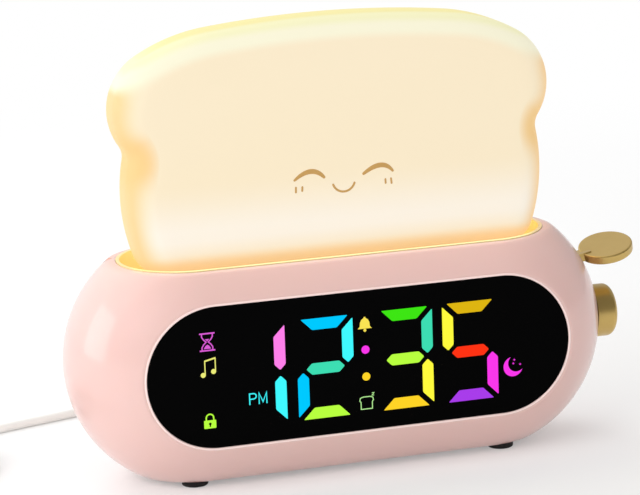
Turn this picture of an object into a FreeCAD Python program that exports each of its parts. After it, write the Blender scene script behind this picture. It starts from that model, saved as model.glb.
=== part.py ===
"""Kids' alarm clock with a night light.

A pill-shaped case holds a colour digit display behind a black window. A lamp shaped like a slice of
bread stands in a slot on top and is pressed down for a snooze. A lever and a knob are on the right end.
Millimetres. X is to the right, the front faces -Y, Z is up and the feet stand on Z = 0.
"""
import FreeCAD, Part

import math
import os

# Case: a stadium in front view with fully rounded edges, cut flat in front, behind, above and below
CASE_WIDTH = 181.4
CASE_HEIGHT = 85.0
CASE_DEPTH = 64.8
BASE_FLAT = 1.5
BASE_CUT = 4.5
TOP_CUT = 9.5
FACE_CUT = 3.2
CASE_CENTRE_Z = BASE_FLAT + CASE_HEIGHT / 2 - BASE_CUT
TOP_FLAT = CASE_CENTRE_Z + CASE_HEIGHT / 2 - TOP_CUT
FRONT_FLAT = CASE_DEPTH / 2 - FACE_CUT
REAR_FLAT = CASE_DEPTH / 2 - FACE_CUT
WALL = 2.4
SEAM_Y = 9.0
TONGUE_LENGTH = 2.0
CASE_HALF = CASE_WIDTH / 2
EDGE_R = CASE_DEPTH / 2
CORE_R = CASE_HEIGHT / 2 - EDGE_R
SPAN = CASE_HALF - CASE_HEIGHT / 2
REACH = CASE_WIDTH

# Flat areas that the cuts leave: half height in front, half width and half length on top
FACE_HALF_HEIGHT = CORE_R + math.sqrt(EDGE_R ** 2 - FRONT_FLAT ** 2)
TOP_HALF_WIDTH = math.sqrt(EDGE_R ** 2 - (TOP_FLAT - CASE_CENTRE_Z - CORE_R) ** 2)
TOP_HALF_LENGTH = SPAN + math.sqrt((CASE_HEIGHT / 2) ** 2 - (TOP_FLAT - CASE_CENTRE_Z) ** 2)

# Clearances
FIT = 0.1
PRESS = 0.02
RUNNING = 0.05
MOVING = 0.4
SEAT = 0.3

# Display window in the front of the case
WINDOW_BORDER_SIDE = 1.54
WINDOW_BORDER_HIGH = 1.09
WINDOW_LENGTH = 2 * (SPAN + FACE_HALF_HEIGHT - WINDOW_BORDER_SIDE)
WINDOW_HEIGHT = 2 * (FACE_HALF_HEIGHT - WINDOW_BORDER_HIGH)
WINDOW_THICK = 1.8
WINDOW_RECESS = 0.2
PLATE_THICK = 2.0
WINDOW_FACE_Y = -FRONT_FLAT + WINDOW_RECESS
WINDOW_BACK_Y = WINDOW_FACE_Y + WINDOW_THICK
PLATE_BACK_Y = WINDOW_BACK_Y + PLATE_THICK

# Digits and indicators
DIGIT_WIDTH = 0.1328 * WINDOW_LENGTH
DIGIT_HEIGHT = 0.716 * WINDOW_HEIGHT
DIGIT_DROP = 0.8
DIGIT_Z = CASE_CENTRE_Z - DIGIT_DROP
DIGIT_CENTRES_X = tuple(share * DIGIT_WIDTH for share in (-1.856, -0.654, 0.771, 1.952))
SEGMENT_THICK = 3.7
SEGMENT_GAP = 0.6
COLON_X = 0.0585 * DIGIT_WIDTH
COLON_SPREAD = 0.27 * DIGIT_HEIGHT
COLON_DOT_R = 1.35
MASK_BORDER = 1.3
MASK_LENGTH = 0.8192 * WINDOW_LENGTH
MASK_HEIGHT = DIGIT_HEIGHT + 2 * MASK_BORDER
INDICATORS = (
    (-0.438 * MASK_LENGTH, 0.385 * DIGIT_HEIGHT, 5.4, 6.2),
    (-0.4388 * MASK_LENGTH, 0.13 * DIGIT_HEIGHT, 5.4, 6.8),
    (-0.4397 * MASK_LENGTH, -0.397 * DIGIT_HEIGHT, 4.6, 5.6),
    (DIGIT_CENTRES_X[0], -0.227 * DIGIT_HEIGHT, 6.8, 4.8),
    (0.4422 * MASK_LENGTH, -0.209 * DIGIT_HEIGHT, 6.8, 6.8),
    (COLON_X, 0.379 * DIGIT_HEIGHT, 5.4, 5.4),
    (COLON_X, -0.391 * DIGIT_HEIGHT, 5.6, 5.8),
)
MASK_DEPTH = 5.4
LENS_DEPTH = 3.8
BOARD_THICK = 1.4
CHIP_HEIGHT = 1.2
CHIP_SIZE = 2.6

# Slot on top of the case and its gold liner
SLOT_BORDER_END = 2.98
SLOT_BORDER_SIDE = 0.72
SLOT_LENGTH = 2 * (TOP_HALF_LENGTH - SLOT_BORDER_END)
SLOT_WIDTH = 2 * (TOP_HALF_WIDTH - SLOT_BORDER_SIDE)
LINER_WALL = 1.2
LINER_DEPTH = 13.0
LINER_FLOOR = 1.5
LINER_PROUD = 0.3
SLOT_HOOK_WIDTH = 10.0
SLOT_HOOK_REACH = 1.6
SLOT_HOOK_THICK = 1.8

# Lamp: a bread slice drawn by arcs in front view, see slice_outline
LAMP_Y = -3.5
LAMP_THICK = 24.0
LAMP_WALL = 2.0
LAMP_EDGE_R = 9.0
LAMP_SINK = 4.5
LAMP_BOTTOM_Z = TOP_FLAT - LAMP_SINK
LAMP_CORNER_R = 10.0
LOBE_OVERHANG = 0.8
BELLY_INSET = 3.0
WAIST_INSET = 4.3
WAIST_RISE = 39.2
LOBE_RISE = 53.5
LOBE_HALF = SLOT_LENGTH / 2 + LOBE_OVERHANG
BELLY_HALF = LOBE_HALF - BELLY_INSET
WAIST_HALF = LOBE_HALF - WAIST_INSET
WAIST_Z = LAMP_BOTTOM_Z + WAIST_RISE
WAIST_R = 6.0
LOBE_Z = LAMP_BOTTOM_Z + LOBE_RISE
LOBE_R = 20.0
SHOULDER_R = 59.0
SHOULDER_ANGLE = 30.0
CROWN_R = 350.0

# Lamp base, carriage and springs
LAMP_TRAVEL = 2.0
NECK_INSET = 23.1
NECK_HALF = SLOT_LENGTH / 2 - NECK_INSET
NECK_WIDTH = 14.4
NECK_WALL = 1.6
NECK_GAP = 1.0
BASE_FLANGE_THICK = 1.5
BASE_FLANGE_LIP = 2.0
CARRIAGE_THICK = 2.2
CARRIAGE_WIDTH = 15.0
GUIDE_R = 3.2
GUIDE_WALL = 1.4
GUIDE_LENGTH = 10.5
FRAME_THICK = 2.0
FRAME_DEPTH = 35.5
FRAME_Z = TOP_FLAT - FRAME_DEPTH
FRAME_WIDTH = 16.0
SPRING_INSET = 18.9
LAMP_SPRING_X = NECK_HALF - SPRING_INSET
LAMP_SPRING_R = 4.0
LAMP_SPRING_WIRE = 0.5
LAMP_SPRING_TURNS = 6
LAMP_LED_COUNT = 8
LAMP_LED_INSET = 5.15
LAMP_LED_PITCH = 2 * (NECK_HALF - LAMP_LED_INSET) / (LAMP_LED_COUNT - 1)
STRIKER_R = 1.8

# Side lever
LEVER_DISC_R = 9.15
LEVER_DISC_THICK = 3.0
LEVER_DISC_X = CASE_HALF + 5.6
LEVER_DISC_Z = CASE_CENTRE_Z + 21.3
LEVER_TILT = 11.8
LEVER_CANT = 11.8
LEVER_EDGE_R = 0.6
LEVER_BAR = 2.8
LEVER_BAR_WIDTH = 5.0
LEVER_PIVOT_X = CASE_HALF - 18.7
LEVER_PIVOT_Z = CASE_CENTRE_Z + 9.5
LEVER_ELBOW_X = LEVER_PIVOT_X + 7.0
LEVER_HUB_R = 3.2
LEVER_HUB_FRONT = -3.9
LEVER_HUB_REAR = 1.2
LEVER_LEG = 9.0
LEVER_LEG_THICK = 2.6
LEVER_PIN_R = 1.5
LEVER_SLOT_LOW = CASE_CENTRE_Z + 14.8
LEVER_SLOT_HIGH = CASE_CENTRE_Z + 20.9
EAR_INNER = 4.7
EAR_THICK = 1.8
LEVER_SPRING_R = 2.4
LEVER_SPRING_WIRE = 0.3
LEVER_SPRING_TURNS = 3

# Side knob and its rotary encoder
KNOB_R = 8.9
KNOB_REACH = 6.7
KNOB_END_X = CASE_HALF + KNOB_REACH
KNOB_EDGE_R = 2.2
KNOB_RECESS_DEPTH = 1.8
KNOB_WALL = 1.7
KNOB_PUSH = 0.8
KNOB_HUB_R = 4.6
KNOB_CAP = 2.9
SHAFT_R = 3.0
SHAFT_FLAT = 2.4
BUSH_R = 3.5
BUSH_LENGTH = 2.6
ENCODER_SIZE = 12.0
ENCODER_DEPTH = 6.6
ENCODER_BACK_WALL = 0.9
PLUNGER_THICK = 0.8
ENCODER_BOARD_SIZE = 20.4
ENCODER_SCREW_SPREAD = 8.4

# Screws, bosses and posts
CASE_SCREW_X = CASE_HALF - 27.2
CASE_SCREW_DZ = 14.0
CASE_BOSS_R = 3.6
CASE_POST_R = 4.0
SCREW_R = 1.2
SCREW_HEAD_R = 2.4
SCREW_HEAD_THICK = 1.6
SMALL_SCREW_R = 0.9
SMALL_HEAD_R = 1.8
SMALL_HEAD_THICK = 1.1
POST_R = 2.4

# Feet
FOOT_X = CASE_HALF - 38.1
FOOT_FRONT_Y = -12.0
FOOT_REAR_Y = 14.2
FOOT_R = 4.3
FOOT_SINK = 0.8
FOOT_RIM = 0.7
FOOT_SPIGOT_R = 1.6
FOOT_SPIGOT = 3.2

# Main board, rear buttons and their switches
SPEAKER_X = 47.7 - CASE_HALF
SPEAKER_R = 18.0
BOARD_MARGIN = 3.0
MAIN_BOARD_Y = REAR_FLAT - 11.8
MAIN_BOARD_LEFT = SPEAKER_X + SPEAKER_R + BOARD_MARGIN
MAIN_BOARD_RIGHT = CASE_SCREW_X - 7.5
MAIN_BOARD_LOW = CASE_CENTRE_Z - 26.0
MAIN_BOARD_HIGH = TOP_FLAT - LINER_DEPTH - 0.5
BUTTON_NAMES = ("button_clock", "button_alarm", "button_light", "button_up", "button_down")
BUTTON_INSET_LEFT = 8.0
BUTTON_INSET_RIGHT = 10.0
BUTTON_INSET_TOP = 9.0
BUTTON_X = MAIN_BOARD_LEFT + BUTTON_INSET_LEFT
BUTTON_PITCH = (MAIN_BOARD_RIGHT - BUTTON_INSET_RIGHT - BUTTON_X) / (len(BUTTON_NAMES) - 1)
BUTTON_Z = MAIN_BOARD_HIGH - BUTTON_INSET_TOP
BUTTON_R = 3.6
BUTTON_GAP = 0.35
BUTTON_PROUD = 1.0
BUTTON_TRAVEL = 0.8
BUTTON_FLANGE_R = 4.7
BUTTON_FLANGE_THICK = 1.0
BUTTON_STEM_R = 1.8
CONTROLLER_SIZE = 12.0
PACKAGE_THICK = 1.4
SWITCH_SIZE = 6.0
SWITCH_BODY = 3.5
SWITCH_PLUNGER = 0.8
SWITCH_PLUNGER_R = 1.6

# Speaker behind slots in the rear cover
SPEAKER_DEPTH = 4.0
SPEAKER_RIM = 2.5
SPEAKER_RIM_THICK = 1.2
SPEAKER_EAR_ANGLES = (60, 180, 300)
SPEAKER_BITE = 1.8
MAGNET_R = 9.0
MAGNET_THICK = 5.0
GRILLE_R = 15.0
GRILLE_PITCH = 4.0
GRILLE_SLOT = 2.0
GRILLE_ROWS = 7

# Backup cell bay with its door
BAY_X = MAIN_BOARD_RIGHT - 12.0
BAY_Z = CASE_CENTRE_Z - 12.5
BAY_LENGTH = 28.0
BAY_HEIGHT = 22.0
BAY_DEPTH = 7.0
BAY_WALL = 1.2
DOOR_THICK = 1.8
DOOR_SCREW_DX = 11.6
CELL_R = 10.0
CELL_THICK = 3.2
CELL_DX = -2.6

# Power jack in the rear
JACK_X = 0.0
JACK_Z = MAIN_BOARD_LOW + 6.5
JACK_SIZE = 9.2
JACK_BORE_R = 2.85
JACK_BORE_DEPTH = 8.0
JACK_HOLE_R = 4.3
JACK_NOSE_R = 4.1

# Power lead
CORD_R = 1.5
PLUG_R = 4.0
PLUG_LENGTH = 10.0
RELIEF_R = 2.3
RELIEF_LENGTH = 11.0
PLUG_GAP = 0.5
CORD_ROUTE = (
    (JACK_X, REAR_FLAT + 21.5, JACK_Z),
    (JACK_X, REAR_FLAT + 34.0, JACK_Z - 0.4),
    (-4.0, 76.4, JACK_Z - 8.0),
    (-16.5, 87.6, 3.6),
    (-35.0, 90.6, CORD_R),
    (-62.0, 82.6, CORD_R),
    (-112.0, 67.4, CORD_R),
    (-139.0, 58.6, CORD_R),
)
COIL_START_R = 25.0
COIL_PITCH = 4.0
COIL_TURNS_IN = 3.5
COIL_TURNS_OUT = 3.0
COIL_CLIMB_TURNS = 0.5
COIL_LIFT_TURNS = 0.25
COIL_TAIL_DEG = 120.0
COIL_TAIL_R = 34.5
COIL_STEPS = 4
USB_LENGTH = 14.0
USB_WIDTH = 12.0
USB_HEIGHT = 4.5
USB_GRIP_LENGTH = 20.0
USB_GRIP_WIDTH = 15.4
USB_GRIP_HEIGHT = 7.6
TIE_WIDTH = 6.0
TIE_THICK = 0.6
TIE_DEG = 150.0


def vec(x, y, z):
    """A point or a direction"""
    return FreeCAD.Vector(x, y, z)


def box(x0, x1, y0, y1, z0, z1):
    """A block between two corners"""
    return Part.makeBox(x1 - x0, y1 - y0, z1 - z0, vec(x0, y0, z0))


def rod(radius, start, end):
    """A cylinder from one point to another"""
    a = vec(*start)
    along = vec(*end) - a
    return Part.makeCylinder(radius, along.Length, a, along)


def prism(points, along):
    """A polygon moved along a vector"""
    wire = Part.makePolygon(list(points) + [points[0]])
    return Part.Face(wire).extrude(along)


def fused(first, *others):
    """One solid made of several that overlap"""
    return first.fuse(list(others)).removeSplitter()


def stadium_wire(half_length, half_height, place):
    """A stadium outline; place turns a flat (u, v) into a point"""
    straight = half_length - half_height
    low_left = place(-straight, -half_height)
    low_right = place(straight, -half_height)
    high_right = place(straight, half_height)
    high_left = place(-straight, half_height)
    return Part.Wire([
        Part.LineSegment(low_left, low_right).toShape(),
        Part.Arc(low_right, place(half_length, 0), high_right).toShape(),
        Part.LineSegment(high_right, high_left).toShape(),
        Part.Arc(high_left, place(-half_length, 0), low_left).toShape(),
    ])


def front_stadium(half_length, half_height, y0, y1, x=0.0, z=CASE_CENTRE_Z):
    """A stadium seen from the front, between two depths"""
    wire = stadium_wire(half_length, half_height, lambda u, v: vec(x + u, y0, z + v))
    return Part.Face(wire).extrude(vec(0, y1 - y0, 0))


def top_stadium(half_length, half_width, z0, z1, y=0.0):
    """A stadium seen from above, between two heights"""
    wire = stadium_wire(half_length, half_width, lambda u, v: vec(u, y + v, z0))
    return Part.Face(wire).extrude(vec(0, 0, z1 - z0))


def pill(inset):
    """The rounded case block, drawn in by inset on every side"""
    r = EDGE_R - inset
    z = CASE_CENTRE_Z

    def section(x, low):
        top_front = vec(x, -r, z + CORE_R)
        top_rear = vec(x, r, z + CORE_R)
        base_front = vec(x, -r, z - low)
        base_rear = vec(x, r, z - low)
        edges = [
            Part.LineSegment(base_front, top_front).toShape(),
            Part.Arc(top_front, vec(x, 0, z + CORE_R + r), top_rear).toShape(),
            Part.LineSegment(top_rear, base_rear).toShape(),
        ]
        if low > 0:
            edges.append(Part.Arc(base_rear, vec(x, 0, z - low - r), base_front).toShape())
        else:
            edges.append(Part.LineSegment(base_rear, base_front).toShape())
        return Part.Face(Part.Wire(edges))

    middle = section(-SPAN, CORE_R).extrude(vec(2 * SPAN, 0, 0))
    right = section(SPAN, 0).revolve(vec(SPAN, 0, z), vec(0, 1, 0), 180)
    left = section(-SPAN, 0).revolve(vec(-SPAN, 0, z), vec(0, 1, 0), -180)
    limits = box(-REACH, REACH, inset - FRONT_FLAT, REAR_FLAT - inset, BASE_FLAT + inset, TOP_FLAT - inset)
    return middle.fuse([right, left]).common(limits)


def slab_y(y0, y1):
    """Everything between two depths"""
    return box(-REACH, REACH, y0, y1, -REACH, REACH)


def screw(radius, head_r, head_thick, tip, seat):
    """A pan-head screw whose head rests at seat and whose point is at tip"""
    a = vec(*seat)
    back = (a - vec(*tip)).normalize()
    head = Part.makeCylinder(head_r, head_thick, a, back)
    slot = Part.makeBox(2 * head_r, 0.5, 0.5, vec(-head_r, -0.25, head_thick - 0.5))
    slot.Placement = FreeCAD.Placement(a, FreeCAD.Rotation(vec(0, 0, 1), back))
    return rod(radius, tip, seat).fuse(head.cut(slot))


def case_screw_places():
    """The four case screws, seen from the front"""
    return [(sx * CASE_SCREW_X, CASE_CENTRE_Z + sz * CASE_SCREW_DZ) for sx in (-1, 1) for sz in (-1, 1)]


# Places that several pieces share
KNOB_FLOOR_X = CASE_WIDTH / 2 - KNOB_RECESS_DEPTH
KNOB_BACK_X = KNOB_FLOOR_X + KNOB_PUSH + SEAT
KNOB_PAD_X = KNOB_FLOOR_X - BUSH_LENGTH
ENCODER_FACE_X = KNOB_PAD_X - SEAT
ENCODER_BACK_X = ENCODER_FACE_X - ENCODER_DEPTH
PLUNGER_X = ENCODER_BACK_X + ENCODER_BACK_WALL + KNOB_PUSH + SEAT
KNOB_PAD_R = SEAM_Y - TONGUE_LENGTH - 2 * FIT
MASK_FRONT_Y = WINDOW_BACK_Y + FIT
MASK_BACK_Y = MASK_FRONT_Y + MASK_DEPTH
DISPLAY_BOARD_Y = MASK_BACK_Y + FIT
DISPLAY_SCREW_X = MASK_LENGTH / 2 - 8.0
DISPLAY_SCREW_Z = CASE_CENTRE_Z - MASK_HEIGHT / 2 - POST_R - SEAT
DISPLAY_BOARD_LOW = DISPLAY_SCREW_Z - POST_R
DISPLAY_BOARD_HIGH = CASE_CENTRE_Z + MASK_HEIGHT / 2
DISPLAY_BOARD_HALF = MASK_LENGTH / 2
HOOK_HALF = 4.0
HOOK_X = 38.0
HOOK_THICK = 1.2
HOOK_LIP = 1.0
LINER_BOTTOM_Z = TOP_FLAT - LINER_DEPTH
GUIDE_X = NECK_HALF + NECK_GAP + GUIDE_R + MOVING
CARRIAGE_HALF = GUIDE_X + GUIDE_R + GUIDE_WALL
CARRIAGE_TOP_Z = LINER_BOTTOM_Z - SEAT
CARRIAGE_Z = CARRIAGE_TOP_Z - CARRIAGE_THICK
GUIDE_END_Z = LINER_BOTTOM_Z - GUIDE_LENGTH
FRAME_TOP_Z = FRAME_Z + FRAME_THICK
FLANGE_HALF_WIDTH = NECK_WIDTH / 2 + BASE_FLANGE_LIP
LAMP_CAVITY_R = LAMP_EDGE_R - LAMP_WALL
FLANGE_SIDE = FLANGE_HALF_WIDTH + LAMP_EDGE_R - LAMP_THICK / 2
FLANGE_Z = LAMP_BOTTOM_Z + LAMP_EDGE_R - math.sqrt(LAMP_CAVITY_R ** 2 - FLANGE_SIDE ** 2) + FIT
BASE_TOP_Z = FLANGE_Z + BASE_FLANGE_THICK
MAIN_BOARD_REAR_Y = MAIN_BOARD_Y + BOARD_THICK
COVER_INNER_Y = REAR_FLAT - WALL
SNOOZE_TIP_Z = FRAME_TOP_Z + SWITCH_BODY + SWITCH_PLUNGER
BRACKET_X = LEVER_PIVOT_X - 11.6
BRACKET_THICK = 1.8
BRACKET_LOW = LEVER_PIVOT_Z - 13.0
BRACKET_HIGH = LEVER_PIVOT_Z - 2.6
BRACKET_REAR_Y = 8.0
BRACKET_FOOT_Y = PLATE_BACK_Y + 3.0
BRACKET_FOOT_X = LEVER_PIVOT_X - 1.0
BRACKET_SCREW_X = LEVER_PIVOT_X - 5.2
BRACKET_SCREW_Z = (LEVER_PIVOT_Z - 10.4, LEVER_PIVOT_Z - 5.2)
BRACKET_EAR_LOW = LEVER_PIVOT_Z - 6.0
BRACKET_EAR_HIGH = LEVER_PIVOT_Z - 0.4
LEVER_SWITCH_TIP_X = LEVER_PIVOT_X - LEVER_LEG_THICK / 2 - 1.7
JACK_NOSE_Y = REAR_FLAT - 0.4
MAIN_POSTS = [(MAIN_BOARD_LEFT + 3.5, MAIN_BOARD_HIGH - 3.0), (MAIN_BOARD_RIGHT - 3.5, MAIN_BOARD_HIGH - 3.0),
              (MAIN_BOARD_LEFT + 3.5, MAIN_BOARD_LOW + 3.5), (MAIN_BOARD_RIGHT - 31.0, MAIN_BOARD_LOW + 3.5)]
BUTTON_PLACES = [(BUTTON_X + i * BUTTON_PITCH, BUTTON_Z) for i in range(len(BUTTON_NAMES))]
LEVER_SLOPE = math.tan(math.radians(LEVER_TILT))


def knob_recess():
    """The round recess that the knob turns in"""
    return rod(KNOB_R + MOVING, (KNOB_FLOOR_X, 0, CASE_CENTRE_Z), (CASE_WIDTH, 0, CASE_CENTRE_Z))


def foot_pad(x, y):
    """A short round pad under the case that a foot is pressed into"""
    return rod(FOOT_R + FOOT_RIM, (x, y, BASE_FLAT), (x, y, BASE_FLAT + WALL + FOOT_SPIGOT))


def foot_hole(x, y):
    """The recess and spigot hole of one foot"""
    disc = rod(FOOT_R + FIT, (x, y, -1), (x, y, BASE_FLAT + FOOT_SINK))
    return disc.fuse(rod(FOOT_SPIGOT_R + PRESS, (x, y, 0), (x, y, BASE_FLAT + FOOT_SINK + FOOT_SPIGOT)))


def front_shell():
    """Front half of the case: window seat, screw bosses, knob recess and lever slot"""
    hollow = pill(0).cut(pill(WALL)).common(slab_y(-REACH, SEAM_Y))
    rabbet = pill(WALL / 2).common(slab_y(SEAM_Y - TONGUE_LENGTH - FIT, SEAM_Y + 1))
    shell = hollow.cut(rabbet)
    plate = pill(WALL / 2).common(slab_y(-FRONT_FLAT, PLATE_BACK_Y))
    adds = [plate]
    cuts = [
        front_stadium(WINDOW_LENGTH / 2, WINDOW_HEIGHT / 2, -CASE_DEPTH, WINDOW_BACK_Y),
        box(-MASK_LENGTH / 2 - FIT, MASK_LENGTH / 2 + FIT, -CASE_DEPTH, PLATE_BACK_Y + 1,
            CASE_CENTRE_Z - MASK_HEIGHT / 2 - FIT, CASE_CENTRE_Z + MASK_HEIGHT / 2 + FIT),
        top_stadium(SLOT_LENGTH / 2, SLOT_WIDTH / 2, LINER_BOTTOM_Z, TOP_FLAT + 5),
        knob_recess(),
        rod(BUSH_R + FIT, (KNOB_PAD_X - 1, 0, CASE_CENTRE_Z), (CASE_WIDTH, 0, CASE_CENTRE_Z)),
        box(LEVER_ELBOW_X + 2, CASE_WIDTH / 2, -LEVER_BAR_WIDTH / 2 - MOVING, LEVER_BAR_WIDTH / 2 + MOVING,
            LEVER_SLOT_LOW, LEVER_SLOT_HIGH),
    ]
    for x, z in case_screw_places():
        adds.append(rod(CASE_BOSS_R, (x, PLATE_BACK_Y - 0.5, z), (x, SEAM_Y, z)))
        cuts.append(rod(SCREW_R + PRESS, (x, SEAM_Y - 20, z), (x, SEAM_Y + 1, z)))
    adds.append(rod(KNOB_PAD_R, (KNOB_PAD_X, 0, CASE_CENTRE_Z), (KNOB_FLOOR_X + 0.2, 0, CASE_CENTRE_Z)))
    for side in (-1, 1):
        z = CASE_CENTRE_Z + side * ENCODER_SCREW_SPREAD
        end = pill(WALL / 2).common(rod(POST_R, (ENCODER_BACK_X, 0, z), (CASE_WIDTH / 2, 0, z)))
        adds.append(end)
        cuts.append(rod(SMALL_SCREW_R + PRESS, (ENCODER_BACK_X - 1, 0, z), (ENCODER_BACK_X + 4, 0, z)))
    for x in (-DISPLAY_SCREW_X, DISPLAY_SCREW_X):
        adds.append(rod(POST_R, (x, PLATE_BACK_Y - 0.5, DISPLAY_SCREW_Z), (x, DISPLAY_BOARD_Y, DISPLAY_SCREW_Z)))
        cuts.append(rod(SMALL_SCREW_R + PRESS, (x, PLATE_BACK_Y - 1, DISPLAY_SCREW_Z),
                        (x, DISPLAY_BOARD_Y + 1, DISPLAY_SCREW_Z)))
    for z in BRACKET_SCREW_Z:
        adds.append(rod(POST_R, (BRACKET_SCREW_X, PLATE_BACK_Y - 0.5, z), (BRACKET_SCREW_X, BRACKET_FOOT_Y, z)))
        cuts.append(rod(SMALL_SCREW_R + PRESS, (BRACKET_SCREW_X, PLATE_BACK_Y - 1, z),
                        (BRACKET_SCREW_X, BRACKET_FOOT_Y + 1, z)))
    hook_low = DISPLAY_BOARD_HIGH + FIT
    board_rear = DISPLAY_BOARD_Y + BOARD_THICK + FIT
    for x in (-HOOK_X, HOOK_X):
        adds.append(box(x - HOOK_HALF, x + HOOK_HALF, PLATE_BACK_Y - 0.5, board_rear + HOOK_LIP,
                        hook_low, hook_low + HOOK_THICK))
        adds.append(box(x - HOOK_HALF, x + HOOK_HALF, board_rear, board_rear + HOOK_LIP,
                        hook_low - HOOK_LIP, hook_low + HOOK_THICK))
    for x in (-FOOT_X, FOOT_X):
        adds.append(foot_pad(x, FOOT_FRONT_Y))
        cuts.append(foot_hole(x, FOOT_FRONT_Y))
    return shell.fuse(adds).cut(cuts).removeSplitter()


def rear_cover():
    """Rear half of the case: tongue, screw posts, speaker slots, button holes, cell bay and jack hole"""
    hollow = pill(0).cut(pill(WALL)).common(slab_y(SEAM_Y, REACH))
    tongue = pill(WALL / 2 + FIT).cut(pill(WALL)).common(slab_y(SEAM_Y - TONGUE_LENGTH, SEAM_Y + 1))
    bay = box(BAY_X - BAY_LENGTH / 2 - BAY_WALL, BAY_X + BAY_LENGTH / 2 + BAY_WALL,
              REAR_FLAT - BAY_DEPTH - BAY_WALL, REAR_FLAT - 0.5,
              BAY_Z - BAY_HEIGHT / 2 - BAY_WALL, BAY_Z + BAY_HEIGHT / 2 + BAY_WALL)
    adds = [tongue, bay]
    cuts = [
        top_stadium(SLOT_LENGTH / 2, SLOT_WIDTH / 2, LINER_BOTTOM_Z, TOP_FLAT + 5),
        knob_recess(),
        box(BAY_X - BAY_LENGTH / 2, BAY_X + BAY_LENGTH / 2, REAR_FLAT - BAY_DEPTH, REAR_FLAT + 1,
            BAY_Z - BAY_HEIGHT / 2, BAY_Z + BAY_HEIGHT / 2),
        rod(JACK_HOLE_R, (JACK_X, COVER_INNER_Y - 1, JACK_Z), (JACK_X, REAR_FLAT + 1, JACK_Z)),
    ]
    for x, z in case_screw_places():
        adds.append(rod(CASE_POST_R, (x, SEAM_Y, z), (x, COVER_INNER_Y + 0.5, z)))
        cuts.append(rod(SCREW_R + FIT, (x, SEAM_Y - 1, z), (x, REAR_FLAT, z)))
        cuts.append(rod(SCREW_HEAD_R + FIT, (x, SEAM_Y + 5, z), (x, REAR_FLAT + 1, z)))
    for x, z in MAIN_POSTS:
        adds.append(rod(POST_R, (x, MAIN_BOARD_REAR_Y, z), (x, COVER_INNER_Y + 0.5, z)))
        cuts.append(rod(SMALL_SCREW_R + PRESS, (x, MAIN_BOARD_REAR_Y - 1, z), (x, MAIN_BOARD_REAR_Y + 6, z)))
    for x, z in BUTTON_PLACES:
        cuts.append(rod(BUTTON_R + BUTTON_GAP, (x, COVER_INNER_Y - 1, z), (x, REAR_FLAT + 1, z)))
    for row in range(GRILLE_ROWS):
        rise = (row - (GRILLE_ROWS - 1) / 2) * GRILLE_PITCH
        half = math.sqrt(GRILLE_R ** 2 - rise ** 2)
        cuts.append(front_stadium(half, GRILLE_SLOT / 2, COVER_INNER_Y - 1, REAR_FLAT + 1,
                                  SPEAKER_X, CASE_CENTRE_Z + rise))
    for x, z in speaker_ear_places():
        cuts.append(rod(SMALL_SCREW_R + PRESS, (x, COVER_INNER_Y - 1, z), (x, COVER_INNER_Y + SPEAKER_BITE, z)))
    for x in (-FOOT_X, FOOT_X):
        adds.append(foot_pad(x, FOOT_REAR_Y))
        cuts.append(foot_hole(x, FOOT_REAR_Y))
    cuts.append(rod(SMALL_SCREW_R + PRESS, (BAY_X + DOOR_SCREW_DX, REAR_FLAT - BAY_DEPTH - BAY_WALL - 4, BAY_Z),
                    (BAY_X + DOOR_SCREW_DX, REAR_FLAT - DOOR_THICK, BAY_Z)))
    adds.append(rod(POST_R, (BAY_X + DOOR_SCREW_DX, REAR_FLAT - BAY_DEPTH - BAY_WALL - 3, BAY_Z),
                    (BAY_X + DOOR_SCREW_DX, REAR_FLAT - BAY_DEPTH, BAY_Z)))
    shell = hollow.fuse(adds).cut(cuts)
    stand = rod(POST_R, (BAY_X + DOOR_SCREW_DX, REAR_FLAT - BAY_DEPTH - 0.2, BAY_Z),
                (BAY_X + DOOR_SCREW_DX, REAR_FLAT - DOOR_THICK - SEAT, BAY_Z))
    stand = stand.cut(rod(SMALL_SCREW_R + PRESS, (BAY_X + DOOR_SCREW_DX, 0, BAY_Z),
                          (BAY_X + DOOR_SCREW_DX, REAR_FLAT, BAY_Z)))
    return shell.fuse(stand).removeSplitter()


def speaker_ear_places():
    """Centres of the three screw ears on the speaker's rim"""
    reach = SPEAKER_R + SMALL_HEAD_R
    return [(SPEAKER_X + reach * math.cos(math.radians(angle)), CASE_CENTRE_Z + reach * math.sin(math.radians(angle)))
            for angle in SPEAKER_EAR_ANGLES]


def slot_liner():
    """Gold tray in the top slot, with the lamp's guide pillars under its floor"""
    rim_z = TOP_FLAT + LINER_PROUD
    outer = top_stadium(SLOT_LENGTH / 2 - FIT, SLOT_WIDTH / 2 - FIT, LINER_BOTTOM_Z, rim_z)
    inner = top_stadium(SLOT_LENGTH / 2 - FIT - LINER_WALL, SLOT_WIDTH / 2 - FIT - LINER_WALL,
                        LINER_BOTTOM_Z + LINER_FLOOR, rim_z + 1)
    hole = top_stadium(NECK_HALF + NECK_GAP, NECK_WIDTH / 2 + NECK_GAP, LINER_BOTTOM_Z - 1, rim_z, LAMP_Y)
    tray = outer.cut([inner, hole])
    adds = []
    cuts = []
    hook_top = TOP_FLAT - WALL - FIT
    for side in (-1, 1):
        root_x = side * (SLOT_LENGTH / 2 - FIT - LINER_WALL / 2)
        tip_x = side * (SLOT_LENGTH / 2 + SLOT_HOOK_REACH)
        adds.append(box(min(root_x, tip_x), max(root_x, tip_x), -SLOT_HOOK_WIDTH / 2, SLOT_HOOK_WIDTH / 2,
                        hook_top - SLOT_HOOK_THICK, hook_top))
        x = side * GUIDE_X
        adds.append(rod(GUIDE_R, (x, LAMP_Y, GUIDE_END_Z), (x, LAMP_Y, LINER_BOTTOM_Z + LINER_FLOOR / 2)))
        cuts.append(rod(SMALL_SCREW_R + PRESS, (x, LAMP_Y, GUIDE_END_Z - 1), (x, LAMP_Y, GUIDE_END_Z + 8)))
    return tray.fuse(adds).cut(cuts).removeSplitter()


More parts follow.
